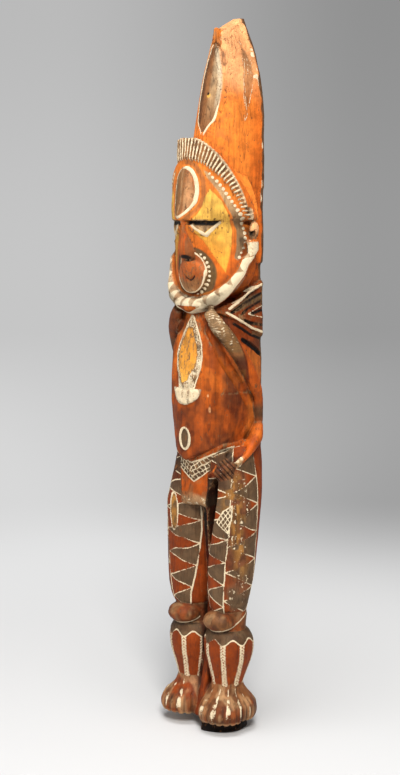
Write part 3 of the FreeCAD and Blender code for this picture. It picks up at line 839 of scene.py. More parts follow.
def paint_nose(skin):
    skin.ground("deep_orange")
    skin.coat(soft(6.5 - skin.side + skin.spread(9, 3, 4) * 4, 1.5) * 0.75, "brown")
    skin.coat(soft(np.abs(skin.side - 2) - 1.5, 1.5) * 0.6, "brown")
    # A black nostril, with the shadow under the nose tip painted in with it.
    nostril_and_shadow = np.hypot((skin.x - 3) / 2.3, skin.z - low_z("nose") - 3.0)
    skin.coat(soft(nostril_and_shadow - 4.6, 1.0), "black", relief=-1.0)
    skin.coat(soft(skin.z - 882, 8) * soft(-nostril_and_shadow + 6, 4) * 0.4, "dark_brown")


def paint_jaw(skin, node):
    """The white jaw band with tan triangles, hanging from ear to ear."""
    drop = skin.z - JAW_CENTRE_Z
    inner = ring(skin.x, drop, JAW_WIDE - 8, JAW_CENTRE_Z - CHIN_Z - 27)
    by_ear = soft(866 - skin.z, 12)
    front = soft(skin.normals[:, 1] + 0.02 - 0.5 * by_ear, 0.14) * soft(6 - 16 * by_ear - skin.depth, 3)
    below_ear = soft(skin.z - 899, 2)
    band = soft(-inner + skin.wobble * 0.4 - 1, 0.9) * front * below_ear
    turns = np.degrees(np.arctan2(skin.x, -drop))
    length = np.radians(turns) * 92 + skin.spread(40, 14) * 6
    thick = 9 + 17 * np.cos(np.radians(np.clip(turns, -90, 90))) ** 2
    across = np.clip(inner / thick, 0, 1.2)
    skin.coat(band, "cream")
    skin.chalked(band * (0.90 + skin.spread(10, 5) * 0.5), 0.6)
    tooth = np.abs((length / JAW_PITCH) % 1.0 - 0.5) * JAW_PITCH
    wedge = tooth - np.clip(0.92 - across, 0, 1) * (8.5 + 3.0 * soft(skin.x + 25, 15))
    skin.coat(band * soft(wedge, 1.2) * 0.8, "grey", relief=-0.5)
    skin.coat(band * soft(wedge, 1.2) * 0.5, "tan", over_chalk=False)
    skin.coat(band * soft(wedge + 2.5, 1.0) * soft(skin.spread(15, 47), 0.2) * 0.5, "brown")
    skin.coat(between(inner, -5, 0, 1) * front * below_ear * 0.6, "orange")
    beads = np.hypot(((skin.z + 3) % 7.0) - 3.5, (skin.turn - 84) * DEGREE)
    skin.chalked(soft(beads - 2.2, 0.7) * between(skin.z, 868, 903, 2), 0.5)
    gaps = np.hypot(((skin.z + 6.5) % 7.0) - 3.5, (skin.turn - 87) * DEGREE + skin.wobble)
    skin.coat(soft(gaps - 1.6, 1.0) * between(skin.z, 868, 903, 2) * 0.6, "tan")
    if node == "jaw_rim":
        skin.coat((1 - front) * 0.8, "deep_orange")


def paint_ear(skin):
    skin.ground("peach")
    skin.coat(soft(skin.z - EAR_Z - 1, 6) * 0.7, "brown")
    # Painted shade: the inside of the carved ear hole is painted black.
    hole = np.hypot(skin.depth - 3, skin.z - EAR_Z)
    skin.coat(soft(hole - 5.6, 1.0), "black")


def paint_head(skin, node):
    """The marks of the head, on the pieces that each of them crosses."""
    if node == "crest_ruff":
        paint_face_bands(skin)
        keep = skin.colour.copy(), skin.chalk.copy(), skin.relief.copy()
        inner = soft(ring(skin.x, skin.z - BROW_Z, CREST_WIDE - 6, 110) + 1, 0.8)
        inner = inner * soft(skin.normals[:, 1] + 0.05, 0.1) * soft(18 - skin.depth, 2)
        skin.chalk[:] = 0
        skin.relief[:] = 0
        paint_crest(skin)
        skin.colour += inner[:, None] * (keep[0] - skin.colour)
        skin.chalk = np.where(inner > 0.5, keep[1], skin.chalk)
        skin.relief += inner * (keep[2] - skin.relief)
    elif node in ("left_ear", "right_ear"):
        paint_ear(skin)
    elif node == "nose":
        paint_nose(skin)
    elif node == "forehead_medallion":
        paint_medallion(skin)
    else:
        paint_face_bands(skin)
        paint_eye(skin)
        paint_mouth(skin)
        if node == "forehead":
            paint_medallion(skin)
        if node in ("jaw_rim", "face_mask", "mouth_oval"):
            paint_jaw(skin, node)
    paint_back(skin)


PENDANT_LINE = [(3, 764), (17, 737), (28, 710), (32, 690), (30, 668), (23, 646), (20, 628), (0, 627)]


def paint_trunk(skin, node):
    """Red body with a speckled pendant, a white tab below it, a ringed navel and dark flanks."""
    x, z = skin.x, skin.z
    u, v = x + skin.wobble * 0.4, z + skin.wobble_up * 0.4
    skin.ground("belly_red")
    skin.coat(soft(640 - z + skin.spread(60, 3) * 60, 50) * 0.35, "orange")
    skin.coat(soft(z - 560 + skin.spread(50, 8) * 60, 35) * 0.5, "red_brown")
    side_shade = soft(np.abs(skin.turn - 50 + skin.spread(40, 1) * 20) - 8, 12)
    skin.coat(side_shade * soft(z - 590, 40) * 0.45, "dark_brown")
    skin.coat(soft(700 - z, 14) * soft(60 - skin.turn, 10) * 0.35, "deep_red")
    flank = soft(80 - skin.turn, 12) * soft(700 - z, 20)
    skin.coat(flank * 0.4, "deep_orange")
    # Painted shade: dark red along the recess between the arm and the belly.
    recess = stroke(skin.side, z, [(link[0], link[2]) for link in ARM_RECESS])
    skin.coat(soft(recess - 8, 7) * soft(14 - skin.depth, 14) * 0.75, "deep_red")
    skin.coat(skin.patches(24, 90, level=0.04) * 0.40, "dark_brown")
    skin.coat(skin.patches(9, 58, 1.6, level=0.10) * 0.45, "deep_red")
    skin.coat(skin.patches(13, 140, 2.5, level=0.12) * 0.40, "deep_orange")
    skin.coat(between(skin.turn, 100, 140, 8) * soft(z - 660, 30) * 0.4, "orange")
    border = area(u, v, PENDANT_LINE + [(-across, up) for across, up in PENDANT_LINE[::-1]])
    cover = soft(border, 0.9) * soft(1 - skin.depth, 2)
    rim = 6.5 + 5.5 * soft(-x, 8) + 6 * soft(z - 660, 12)
    centre = soft(border + rim, 1.0) * soft(z - 740, 3)
    skin.coat(cover, "grey_brown", relief=0.5)
    skin.chalked(cover * (1 - centre) * (0.52 + skin.spread(8, 71) * 0.3), 0.7)
    skin.line(np.abs(border + 1.2), 2.4, relief=0.3, strength=0.9)
    skin.coat(cover * centre, "yellow_deep", relief=-0.9)
    skin.coat(cover * centre * skin.patches(30, 7, 3, width=0.2) * 0.6, "yellow")
    crack = soft(np.abs(x + 2 + skin.spread(30, 61, 2) * 8) - 0.6, 0.8)
    skin.coat(cover * centre * crack * 0.35, "ochre")
    tab = np.maximum(np.hypot((u + 3) / 34, (v - TAB_Z) / 29) * 30 - 30, v - TAB_Z - 0.5)
    tab_cover = soft(tab, 0.9) * soft(1 - skin.depth, 2)
    skin.coat(tab_cover, "grey")
    skin.chalked(tab_cover * (0.66 + skin.spread(5, 15, 2) * 1.1), 0.8)
    navel_x, navel_z = x - 2, z - NAVEL_Z
    navel = ring(navel_x, np.where(navel_z < 0, navel_z * 0.88, navel_z), 11, 18.5)
    skin.coat(soft(navel, 0.9), "grey_brown", relief=-1.2)
    skin.line(np.abs(navel), 4.6, relief=1.2, strength=0.8)
    dabs = np.minimum(np.hypot(x - 47, (z - 592) / 3.6), np.hypot(x - 45, (z - 618) / 1.6))
    skin.coat(soft(dabs - 1.6, 0.6) * 0.7, "peach")
    if node.endswith("wing") or node == "chest":
        paint_wing(skin)


def from_side(chain):
    """A chain's (depth, z) points."""
    return [link[1:3] for link in chain]


WING_LINES = [
    (WING_TOP_RIDGE, 4.6, 1.0), (WING_LOW_RIDGE, 4.6, 1.0), (WING_INNER_TOP_RIDGE, 2.4, 0.7),
    (WING_INNER_LOW_RIDGE, 2.6, 0.75)]


def paint_wing(skin):
    """Fanned ridges behind the shoulder, cream on their crests with dark slots between."""
    u, v = skin.depth, skin.z
    side = soft(50 - skin.side, 2) * soft(640 - v, 4)
    fan = area(u, v, [(40, 772), (-12, 808), (-70, 824), (-70, 680), (10, 712), (34, 748)])
    skin.coat(soft(fan, 2.5) * side, "red_brown")
    skin.coat(soft(fan, 2.5) * side * skin.patches(22, 4, level=-0.02, width=0.2) * 0.6, "dark_brown")
    bar = area(u, v, [(26, 776), (-14, 795), (-70, 806), (-70, 792), (-12, 779), (22, 768)])
    skin.coat(soft(bar, 1.2) * side, "grey_brown")
    skin.coat(soft(bar + 2, 2) * side * skin.patches(10, 40, level=0.05), "olive")
    tail = area(u, v, [(-22, 741), (-70, 726), (-70, 706), (-30, 722)])
    skin.coat(soft(tail, 1.2) * side, "brown")
    skin.coat(soft(v - 690, 14) * soft(u - 10, 20) * side * 0.4, "orange")
    for groove in WING_GROOVES:
        gap = stroke(u, v, from_side(groove))
        skin.coat(soft(gap - groove[1][3] * 0.8, 1.0) * side, "black")
    for chain, width, strength in WING_LINES:
        gap = stroke(u, v, from_side(chain))
        cover = soft(gap - width / 2, 0.8) * side * strength
        skin.chalked(cover * (0.9 + skin.spread(7, 2) * 0.6), 0.3)


def paint_arm(skin, node):
    """The upper arm starts as a pale speckled band and turns brown; the hand is dark."""
    z = skin.z
    skin.ground("brown")
    skin.coat(soft(z - 690, 4) * 0.75, "dark_brown")
    if node.startswith("right"):
        skin.ground("dark_brown", 0.75)
        skin.coat(soft(skin.spread(22, 5, 3), 0.2) * 0.5, "red_brown")
    lit = stroke(skin.depth, z, [(14, 662), (-8, 628), (-18, 596)])
    skin.coat(soft(lit - 2.5, 3) * 0.6, "ochre")
    skin.coat(skin.patches(26, 2, 3, level=0.05, width=0.12) * soft(z - 684, 6) * 0.6, "deep_red")
    band = soft(698 - z, 3) * (1.0 if node.startswith("left") else 0.0)
    skin.coat(band, "grey_brown")
    skin.coat(band * soft(skin.turn - 52 + skin.spread(20, 5) * 20, 8) * 0.8, "tan")
    skin.coat(band * soft(52 - skin.turn + skin.spread(16, 30) * 30, 8) * 0.4, "ochre")
    scales = np.abs(((z + skin.spread(9, 41) * 9) % 5.0) - 2.5)
    skin.chalked(band * (0.26 + 0.20 * soft(skin.turn - 56, 8) + skin.spread(5, 33) * 0.7), 0.5)
    skin.chalked(band * soft(756 - z, 9) * 0.34, 0.3)
    skin.coat(band * soft(0.9 - scales, 0.6) * 0.45, "grey_brown", relief=-0.4)
    behind = skin.depth - np.interp(z, [600, 614, 661, 707, 770], [-16, -8, 10, 24, 40])
    flank = soft(behind, 3) * soft(596 - z, 10)
    skin.coat(flank * 0.85, "belly_red")
    skin.coat(flank * soft(skin.spread(30, 5, 2), 0.2) * 0.7, "deep_orange")
    skin.coat(soft(np.abs(behind) - 1.6, 1.2) * soft(600 - z, 8) * soft(z - 716, 6) * 0.8, "deep_red")
    stray = soft(skin.side - 16 - 0.584 * (771 - z), 2) * soft(690 - z, 4)
    skin.coat(stray, "belly_red")
    skin.coat(soft(z - 562 + skin.spread(24, 3) * 20, 18) * 0.95, "deep_orange")
    # Mottled orange, which also works as painted light: it brightens the forearm where its surface faces
    # away from the light.
    skin.coat(soft(z - 556, 18) * skin.patches(18, 52, 2, width=0.2) * 0.5, "orange")
    skin.coat(soft(z - 548, 18) * skin.patches(12, 36, 2, level=0.02) * 0.6, "red_brown")
    if "forearm" in node:
        cuff = between(skin.turn, 60, 76, 3) * between(z, 484, 516, 3)
        skin.coat(cuff, "tan")
        skin.chalked(cuff * skin.patches(4, 8, level=-0.04), 0.5)


def paint_hand(skin):
    """Dark fingers on the hip and the top of the thigh, parted by black grooves."""
    u, v = skin.turn * 1.25, skin.z
    hand = area(u, v, [(48, 474), (60, 459), (80, 466), (86, 490), (72, 502), (56, 492)])
    cover = soft(hand, 1.5)
    skin.coat(cover, "dark_brown")
    skin.coat(cover * soft(skin.spread(9, 4), 0.2) * 0.6, "brown")
    skin.coat(cover * soft(skin.spread(14, 24), 0.1) * 0.5, "deep_red")
    knuckles = np.abs(((u * 0.8 + v * 0.6) % 6.4) - 3.2)
    skin.coat(cover * soft(knuckles - 0.8, 0.6), "black", relief=-1.3)
    lines = soft(np.abs(knuckles - 2.2) - 0.4, 0.5) * skin.patches(9, 16, level=0.06, width=0.08)
    skin.chalked(cover * lines * 0.5, 0.2)


def paint_hips(skin, node):
    """A cross-hatched belt between white edge lines, and an orange loin block below it."""
    x, z = skin.side, skin.z
    skin.ground("belly_red")
    skin.coat(soft(np.abs(z - 446 + skin.spread(30, 5) * 20) - 10, 12) * 0.6, "deep_orange")
    skin.coat(skin.patches(17, 35, level=0.04, width=0.08) * soft(z - 455, 10) * 0.6, "brown")
    skin.coat(soft(36 - x, 6) * soft(z - 500, 10) * 0.8, "deep_red")
    # Painted shade: the recessed parts of the hips below the belt are painted black.
    skin.coat(soft(skin.depth - 34, 5) * soft(z - 470, 8) * 0.9, "black")
    worn = soft(z - 425 + skin.spread(15, 3) * 16, 5) * soft(x - 32, 4)
    skin.coat(worn * 0.8, "tan")
    skin.chalked(worn * skin.patches(6, 17, level=0.08, width=0.08) * 0.6, 0.2)
    upper = [(0, 489), (22, 497), (48, 510), (68, 524)]
    lower = [(0, 452), (16, 462), (36, 477), (66, 509)]
    belt = area(x + skin.wobble * 0.4, z, upper + lower[::-1])
    front = soft(-skin.depth + 16, 2)
    cover = soft(belt, 1) * front
    skin.coat(cover, "grey_brown", relief=-0.3)
    skin.coat(cover * soft(skin.spread(9, 23), 0.2) * 0.7, "dark_brown")
    along, across = x * 0.9 + z * 0.55, x * 0.55 - z * 0.9
    net = net_distance(along + skin.wobble, across + skin.wobble, 8.4)
    left_over = rubbed_away(skin)
    skin.line(np.where(belt < 0, net, FAR_OFF), 1.9, relief=0.4, strength=left_over)
    skin.line(stroke(x, z, upper) + (1 - front) * FAR_OFF, 3.0, relief=0.8, strength=left_over)
    skin.line(stroke(x, z, lower) + (1 - front) * FAR_OFF, 2.0, relief=0.5, strength=left_over)
    # Painted shade: the wall of the slot beside the loin is painted black.
    painted_slot_shade = soft(0.30 - skin.outward, 0.25) * between(x, 20, 58, 4)
    skin.coat(painted_slot_shade * soft(z - 470 + skin.spread(9, 9) * 8, 6) * 0.96, "black")
    if node != "belt_panel":
        paint_hand(skin)


INNER_EDGE = [(-34, 180), (-38, 235), (-48, 270), (-58, 318), (-64, 352), (-60, 405), (-20, 470)]
RIDGE = [(16, 205), (19, 236), (21, 268), (25, 300), (31, 340), (34, 372), (36, 420), (40, 505)]
OUTER_EDGE = [(88, 205), (92, 245), (97, 290), (106, 350), (116, 420), (124, 500)]
INNER_PERIOD = 42.0
OUTER_PERIOD = 50.0
LEG_DEGREE = 0.8
FAR_OFF = 9


def rubbed_away(skin):
    """How much of a painted line is left after years of handling."""
    return np.clip(0.86 + skin.spread(38, 61, 1.6) * 0.9 + skin.spread(11, 23, 1.4) * 0.7, 0.25, 1.0)


def follow(line, z):
    """The degree of a (degree, z) line at each height."""
    return np.interp(z, [p[1] for p in line], [p[0] for p in line])


def zigzag_column(skin, turn, left, right, period, phase, first, second):
    """Alternate triangles between two border lines, parted by a white zigzag."""
    share = (turn - left) / (right - left)
    inside = soft(-share, 0.02) * soft(share - 1, 0.02)
    height = leg_height(skin) + skin.spread(26, 19) * 7
    wave = zigzag(height + phase, period)
    skin.coat(inside * soft(share - wave, 0.05), first)
    skin.coat(inside * soft(wave - share, 0.05), second)
    slant = np.abs(share - wave) * (right - left) * LEG_DEGREE
    rise = 2 * np.abs(right - left) * LEG_DEGREE / period
    gap = slant / np.sqrt(1 + rise ** 2) + (1 - inside) * FAR_OFF
    skin.line(gap, 2.1, relief=0.35, strength=rubbed_away(skin))


def paint_thigh(skin, node):
    """Two columns of zigzag triangles either side of a white ridge line, worn in the middle."""
    turn = limb_turn(skin, THIGH_AXIS) + skin.wobble * 0.8
    height = leg_height(skin)
    inner, ridge, outer = (follow(line, height) for line in (INNER_EDGE, RIDGE, OUTER_EDGE))
    far = node.startswith("right")
    skin.ground("red_brown")
    if far:
        zigzag_column(skin, turn, inner, ridge, INNER_PERIOD, 8.0, "grey_brown", "red_brown")
    else:
        zigzag_column(skin, turn, inner, ridge, INNER_PERIOD, 8.0, "red_brown", "grey_brown")
    zigzag_column(skin, turn, ridge, outer, OUTER_PERIOD, 14.0, "red_brown", "grey_brown")
    skin.coat(soft(outer + 3 - turn, 2) * 0.9, "red_brown")
    left_over = rubbed_away(skin)
    skin.line(np.abs(turn - ridge) * LEG_DEGREE, 2.6, relief=0.9, strength=left_over)
    inner_gap = np.abs(turn - inner) * LEG_DEGREE + soft(412 - height, 5) * FAR_OFF
    skin.line(inner_gap, 3.4, relief=0.6, strength=left_over)
    skin.line(np.abs(turn - outer) * LEG_DEGREE, 2.4, relief=0.4, strength=left_over)
    # The upper part: a cross-hatched diamond inside, bare worn wood outside, dark by the hand.
    diamond = area(turn * LEG_DEGREE, height, [(4, 380), (16, 402), (32, 413), (30, 386), (24, 362)])
    worn = soft(np.abs(turn - 52 + skin.spread(40, 3) * 44) - 15, 10) * between(height, 290, 462, 25)
    patchy = skin.patches(9, 37, level=0.02)
    dusk = soft(np.abs(turn - 56 + skin.spread(30, 73) * 40) - 22, 12) * between(height, 225, 480, 20)
    skin.coat(dusk * 0.62, "grey_brown", over_chalk=False)
    skin.coat(dusk * skin.patches(6, 83, 1.5, level=0.10, width=0.08) * 0.6, "dark_brown", over_chalk=False)
    skin.chalk *= 1 - 0.5 * dusk
    skin.chalked(dusk * skin.patches(3.4, 48, level=0.17, width=0.06) * 0.55, 0.1)
    worn = worn * patchy
    if not far:
        skin.coat(worn * 0.8, "ochre", over_chalk=False)
        skin.chalk *= 1 - 0.5 * worn
        skin.chalked(worn * (0.28 + skin.spread(4, 9) * 0.5), 0.1)
        skin.coat(worn * skin.patches(7, 9, 2, level=0.08) * 0.8, "dark_brown", over_chalk=False)
        skin.coat(soft(diamond, 1), "grey_brown")
        net = net_distance(turn * 0.7 + skin.z * 0.6, turn * 0.7 - skin.z * 0.6, 7.0)
        skin.line(np.where(diamond < 0, net, FAR_OFF), 1.7, relief=0.4, strength=left_over)
        skin.line(np.abs(diamond), 2.0, relief=0.5, strength=left_over)
        grey = soft(np.abs(turn - 46 + skin.spread(30, 6) * 40) - 16, 10) * between(height, 214, 262, 10)
        skin.coat(grey * 0.85, "grey_brown")
        skin.chalked(grey * (0.34 + skin.spread(6, 6) * 0.5), 0.2)
    else:
        lens = ring((turn - 4) * LEG_DEGREE, height - 386, 8, 34)
        skin.coat(soft(lens, 1), "ochre")
        skin.coat(soft(lens, 1) * skin.patches(7, 6, level=-0.02, width=0.12), "olive")
        skin.line(np.abs(lens - 1), 3.6, relief=0.5, strength=left_over * 0.9)
    skin.coat(soft(440 - skin.z, 12) * soft(turn - 30, 8) * 0.6, "dark_brown", over_chalk=False)
    # Painted shade: the thigh's wall facing the slot is painted black.
    painted_slot_shade = soft(0.35 - skin.outward, 0.2) * soft(skin.side - 40, 3)
    skin.coat(painted_slot_shade * soft(340 - skin.z, 12) * 0.9, "black")
    paint_hand(skin)


def paint_knee(skin):
    """A dark, mottled boss with one white curve under it."""
    turn = limb_turn(skin, CALF_AXIS)
    skin.ground("brown")
    skin.coat(soft(skin.spread(30, 42), 0.2) * 0.6, "dark_brown")
    skin.coat(soft(skin.spread(16, 41), 0.15) * 0.7, "red_brown")
    skin.coat(soft(skin.spread(9, 12), 0.15) * 0.6, "dark_brown")
    skin.coat(skin.patches(12, 66, level=0.14) * 0.3, "tan")
    curve = skin.z - (KNEE_Z + 3 + (turn / 60.0) ** 2 * 9) + skin.wobble * 0.3
    skin.line(np.abs(curve), 3.2, relief=0.7, strength=0.95)
    # Painted shade: the inner side, facing the other leg, is painted deep red.
    skin.coat(soft(turn + 62, 6) * 0.6, "deep_red")


def paint_calf(skin):
    """Grey round the top with a scalloped white edge, then feathered white stripes on red."""
    turn = limb_turn(skin, CALF_AXIS) + skin.wobble * 0.5
    height = leg_height(skin)
    skin.ground("red_brown")
    swing = ((turn + 18 + 23) % 46.0) - 23
    radius = np.hypot(skin.side - CALF_AXIS[0], skin.depth - CALF_AXIS[1])
    arc = np.radians(np.abs(swing)) * radius
    feather = np.abs((height + arc * 1.1) % 5.6 - 2.8)
    stripe = arc - 6.6 + feather * 1.1
    scallop_z = 156 - 5 * np.cos(np.radians(swing * 360 / 46.0))
    cap = height - scallop_z
    left_over = rubbed_away(skin)
    barbs = 1 - soft(feather - 1.0, 0.5) * 0.62 - soft(arc - 0.6, 0.5) * 0.3
    kept = np.clip(barbs, 0.3, 1) * (0.78 + 0.22 * left_over)
    skin.line(stripe + soft(-cap - 1, 1) * FAR_OFF, 0.6, relief=0.9, strength=kept)
    skin.coat(soft(-cap, 1.0), "grey_brown", relief=0.3)
    skin.coat(soft(-cap, 1.0) * soft(skin.spread(13, 55), 0.15) * 0.5, "dark_brown")
    skin.line(np.abs(cap), 2.8, relief=0.7, strength=left_over)
    # Painted shade: the inner side, facing the other leg, is painted deep red.
    skin.coat(soft(turn + 62, 6) * 0.7, "deep_red")


def paint_foot(skin):
    """Tapered white strokes fan from the ankle to the toes."""
    turn = limb_turn(skin, FOOT_AXIS) + skin.wobble * 0.4
    skin.ground("red_brown")
    skin.coat(soft(skin.spread(26, 9) - 0.05, 0.15) * 0.8, "brown")
    skin.coat(skin.patches(15, 44, level=0.05) * 0.6, "dark_brown")
    skin.coat(skin.patches(11, 29, 2, level=0.10, width=0.12) * 0.5, "tan")
    toe = ((turn + 14.5) % 15.0) - 7.5
    low = soft(skin.z - 58, 14)
    skin.relief -= soft(4.6 - np.abs(toe), 1.2) * low * 1.7 * (np.abs(turn) < 118)
    skin.coat(soft(5.2 - np.abs(toe), 1.4) * low * 0.6, "dark_brown")
    stroke_turn = ((turn - 12 + 15) % 30.0) - 15
    width = 2.0 + 2.6 * between(skin.z, 30, 64, 12)
    fine = np.abs(stroke_turn) * 0.95 - width + skin.spread(9, 81, 3) * 3.0
    apart = (1 - between(skin.z, 26, 84, 5)) * FAR_OFF + (np.abs(turn - 38) > 62) * FAR_OFF
    skin.line(fine + apart, 0.4, relief=0.5, strength=rubbed_away(skin) * (0.62 + skin.spread(7, 66)))
    skin.coat(soft(skin.z - 25, 2.5) * 0.6, "tan", over_chalk=False)
    # Painted shade: the inner side, facing the other foot, is painted deep red.
    skin.coat(soft(turn + 60, 8) * 0.75, "deep_red")


def paint_keel(skin):
    skin.ground("red_brown")
    skin.coat(skin.patches(26, 5, 3, level=0.04) * 0.5, "deep_red")
    # Painted shade: the keel deep between the legs turns deep red and then black towards its top.
    skin.coat(soft(268 - skin.z, 50), "deep_red")
    skin.coat(soft(335 - skin.z, 40), "black")


def paint_stump(skin):
    # Black with dark brown patches: the stump's own dark wood, with the shade under the feet painted in as
    # well.
    skin.ground("black")
    skin.coat(skin.patches(9, 4, 2, level=0.12, width=0.08) * 0.7, "dark_brown")
    skin.relief += skin.spread(17, 6, 0.6) * 9.0 - 3.0


HEAD_PARTS = (
    "crest_ruff", "forehead", "forehead_medallion", "face_mask", "nose", "mouth_oval", "jaw_rim",
    "ear", "eye")
TRUNK_PARTS = ("chest", "belly", "chest_pendant", "pendant_tab", "navel_boss", "shoulder_wing")


def paint(skin, node):
    part = node.replace("left_", "").replace("right_", "")
    if node in ("crown_blade", "nape_slab"):
        paint_blade(skin)
    elif node == "crown_stub":
        paint_stub(skin)
    elif part in HEAD_PARTS:
        paint_head(skin, node)
    elif part in TRUNK_PARTS:
        paint_trunk(skin, node)
        paint_back(skin)
    elif part in ("upper_arm", "forearm"):
        paint_arm(skin, node)
        if part == "forearm":
            paint_hand(skin)
        paint_back(skin)
    elif part in ("belt_panel", "hip_block"):
        paint_hips(skin, node)
        paint_back(skin)
    elif part == "thigh":
        paint_thigh(skin, node)
        paint_back(skin)
    elif part == "knee":
        paint_knee(skin)
    elif part == "calf":
        paint_calf(skin)
    elif part == "foot":
        paint_foot(skin)
    elif part == "leg_keel":
        paint_keel(skin)
    else:
        paint_stump(skin)


def tool_marks(skin):
    """Shallow facets, long grain and a few drying cracks over the whole carving."""
    facets = skin.spread(21, 3, 1.7)
    grain = skin.spread(2.6, 70, 16)
    pits = skin.spread(3.4, 20)
    lump = skin.spread(46, 11, 1.4)
    cracks = noise(skin.x + 600, skin.depth + 200, skin.z * 0.045 + 40, 5.2)
    where = noise(skin.x + 50, skin.depth + 70, skin.z * 0.2 + 90, 34.0)
    crack = soft(np.abs(cracks - 0.5) * 26 - 0.55, 0.5) * soft(0.60 - where, 0.05)
    skin.relief += facets * 1.0 + grain * 0.5 + pits * 0.35 + lump * 1.0 - crack * 0.9
    skin.coat(crack * 0.55, "dark_brown", over_chalk=False)


# ---------------------------------------------------------------- materials

def new_material(name):
    material = bpy.data.materials.new(name)
    material.use_nodes = True
    tree = material.node_tree
    tree.nodes.clear()
    return material, tree


class Graph:
    """Small helper for writing a node tree from values and links."""

    def __init__(self, tree):
        self.tree = tree

    def node(self, kind, **inputs):
        made = self.tree.nodes.new(kind)
        for name, value in inputs.items():
            self.feed(made, name.replace("_", " "), value)
        return made

    def feed(self, made, key, value):
        """Links or sets one input, by its name or its number."""
        socket = made.inputs[key]
        if isinstance(value, bpy.types.NodeSocket):
            self.tree.links.new(value, socket)
        elif socket.type == "RGBA" and isinstance(value, float):
            socket.default_value = (value, value, value, 1.0)
        else:
            socket.default_value = value

    def attribute(self, name, output="Fac"):
        made = self.tree.nodes.new("ShaderNodeAttribute")
        made.attribute_name = name
        return made.outputs[output]

    def math(self, operation, *values):
        made = self.tree.nodes.new("ShaderNodeMath")
        made.operation = operation
        for index, value in enumerate(values):
            self.feed(made, index, value)
        return made.outputs[0]

    def times(self, one, two):
        return self.math("MULTIPLY", one, two)

    def weighted(self, total, *terms):
        """A value plus (value, weight) terms."""
        for value, weight in terms:
            total = self.math("ADD", total, self.times(value, weight))
        return total

    def ramp(self, value, low, high, to_low=0.0, to_high=1.0):
        made = self.tree.nodes.new("ShaderNodeMapRange")
        made.interpolation_type = "SMOOTHSTEP"
        for index, item in enumerate((value, low, high, to_low, to_high)):
            self.feed(made, index, item)
        return made.outputs[0]

    def mix(self, share, one, two, blend="MIX"):
        made = self.tree.nodes.new("ShaderNodeMix")
        made.data_type = "RGBA"
        made.blend_type = blend
        self.feed(made, 0, share)
        self.feed(made, 6, one)
        self.feed(made, 7, two)
        return made.outputs[2]

    def noise(self, place, scale, detail=2.0, stretch=(1, 1, 1), rough=0.5):
        mapping = self.node("ShaderNodeMapping", Scale=stretch, Vector=place)
        return self.node(
            "ShaderNodeTexNoise", Scale=scale, Detail=detail, Roughness=rough, Vector=mapping.outputs[0]
        ).outputs[0]


def rgba(name, scale=1.0):
    return tuple(float(value) * scale for value in linear(name)) + (1.0,)


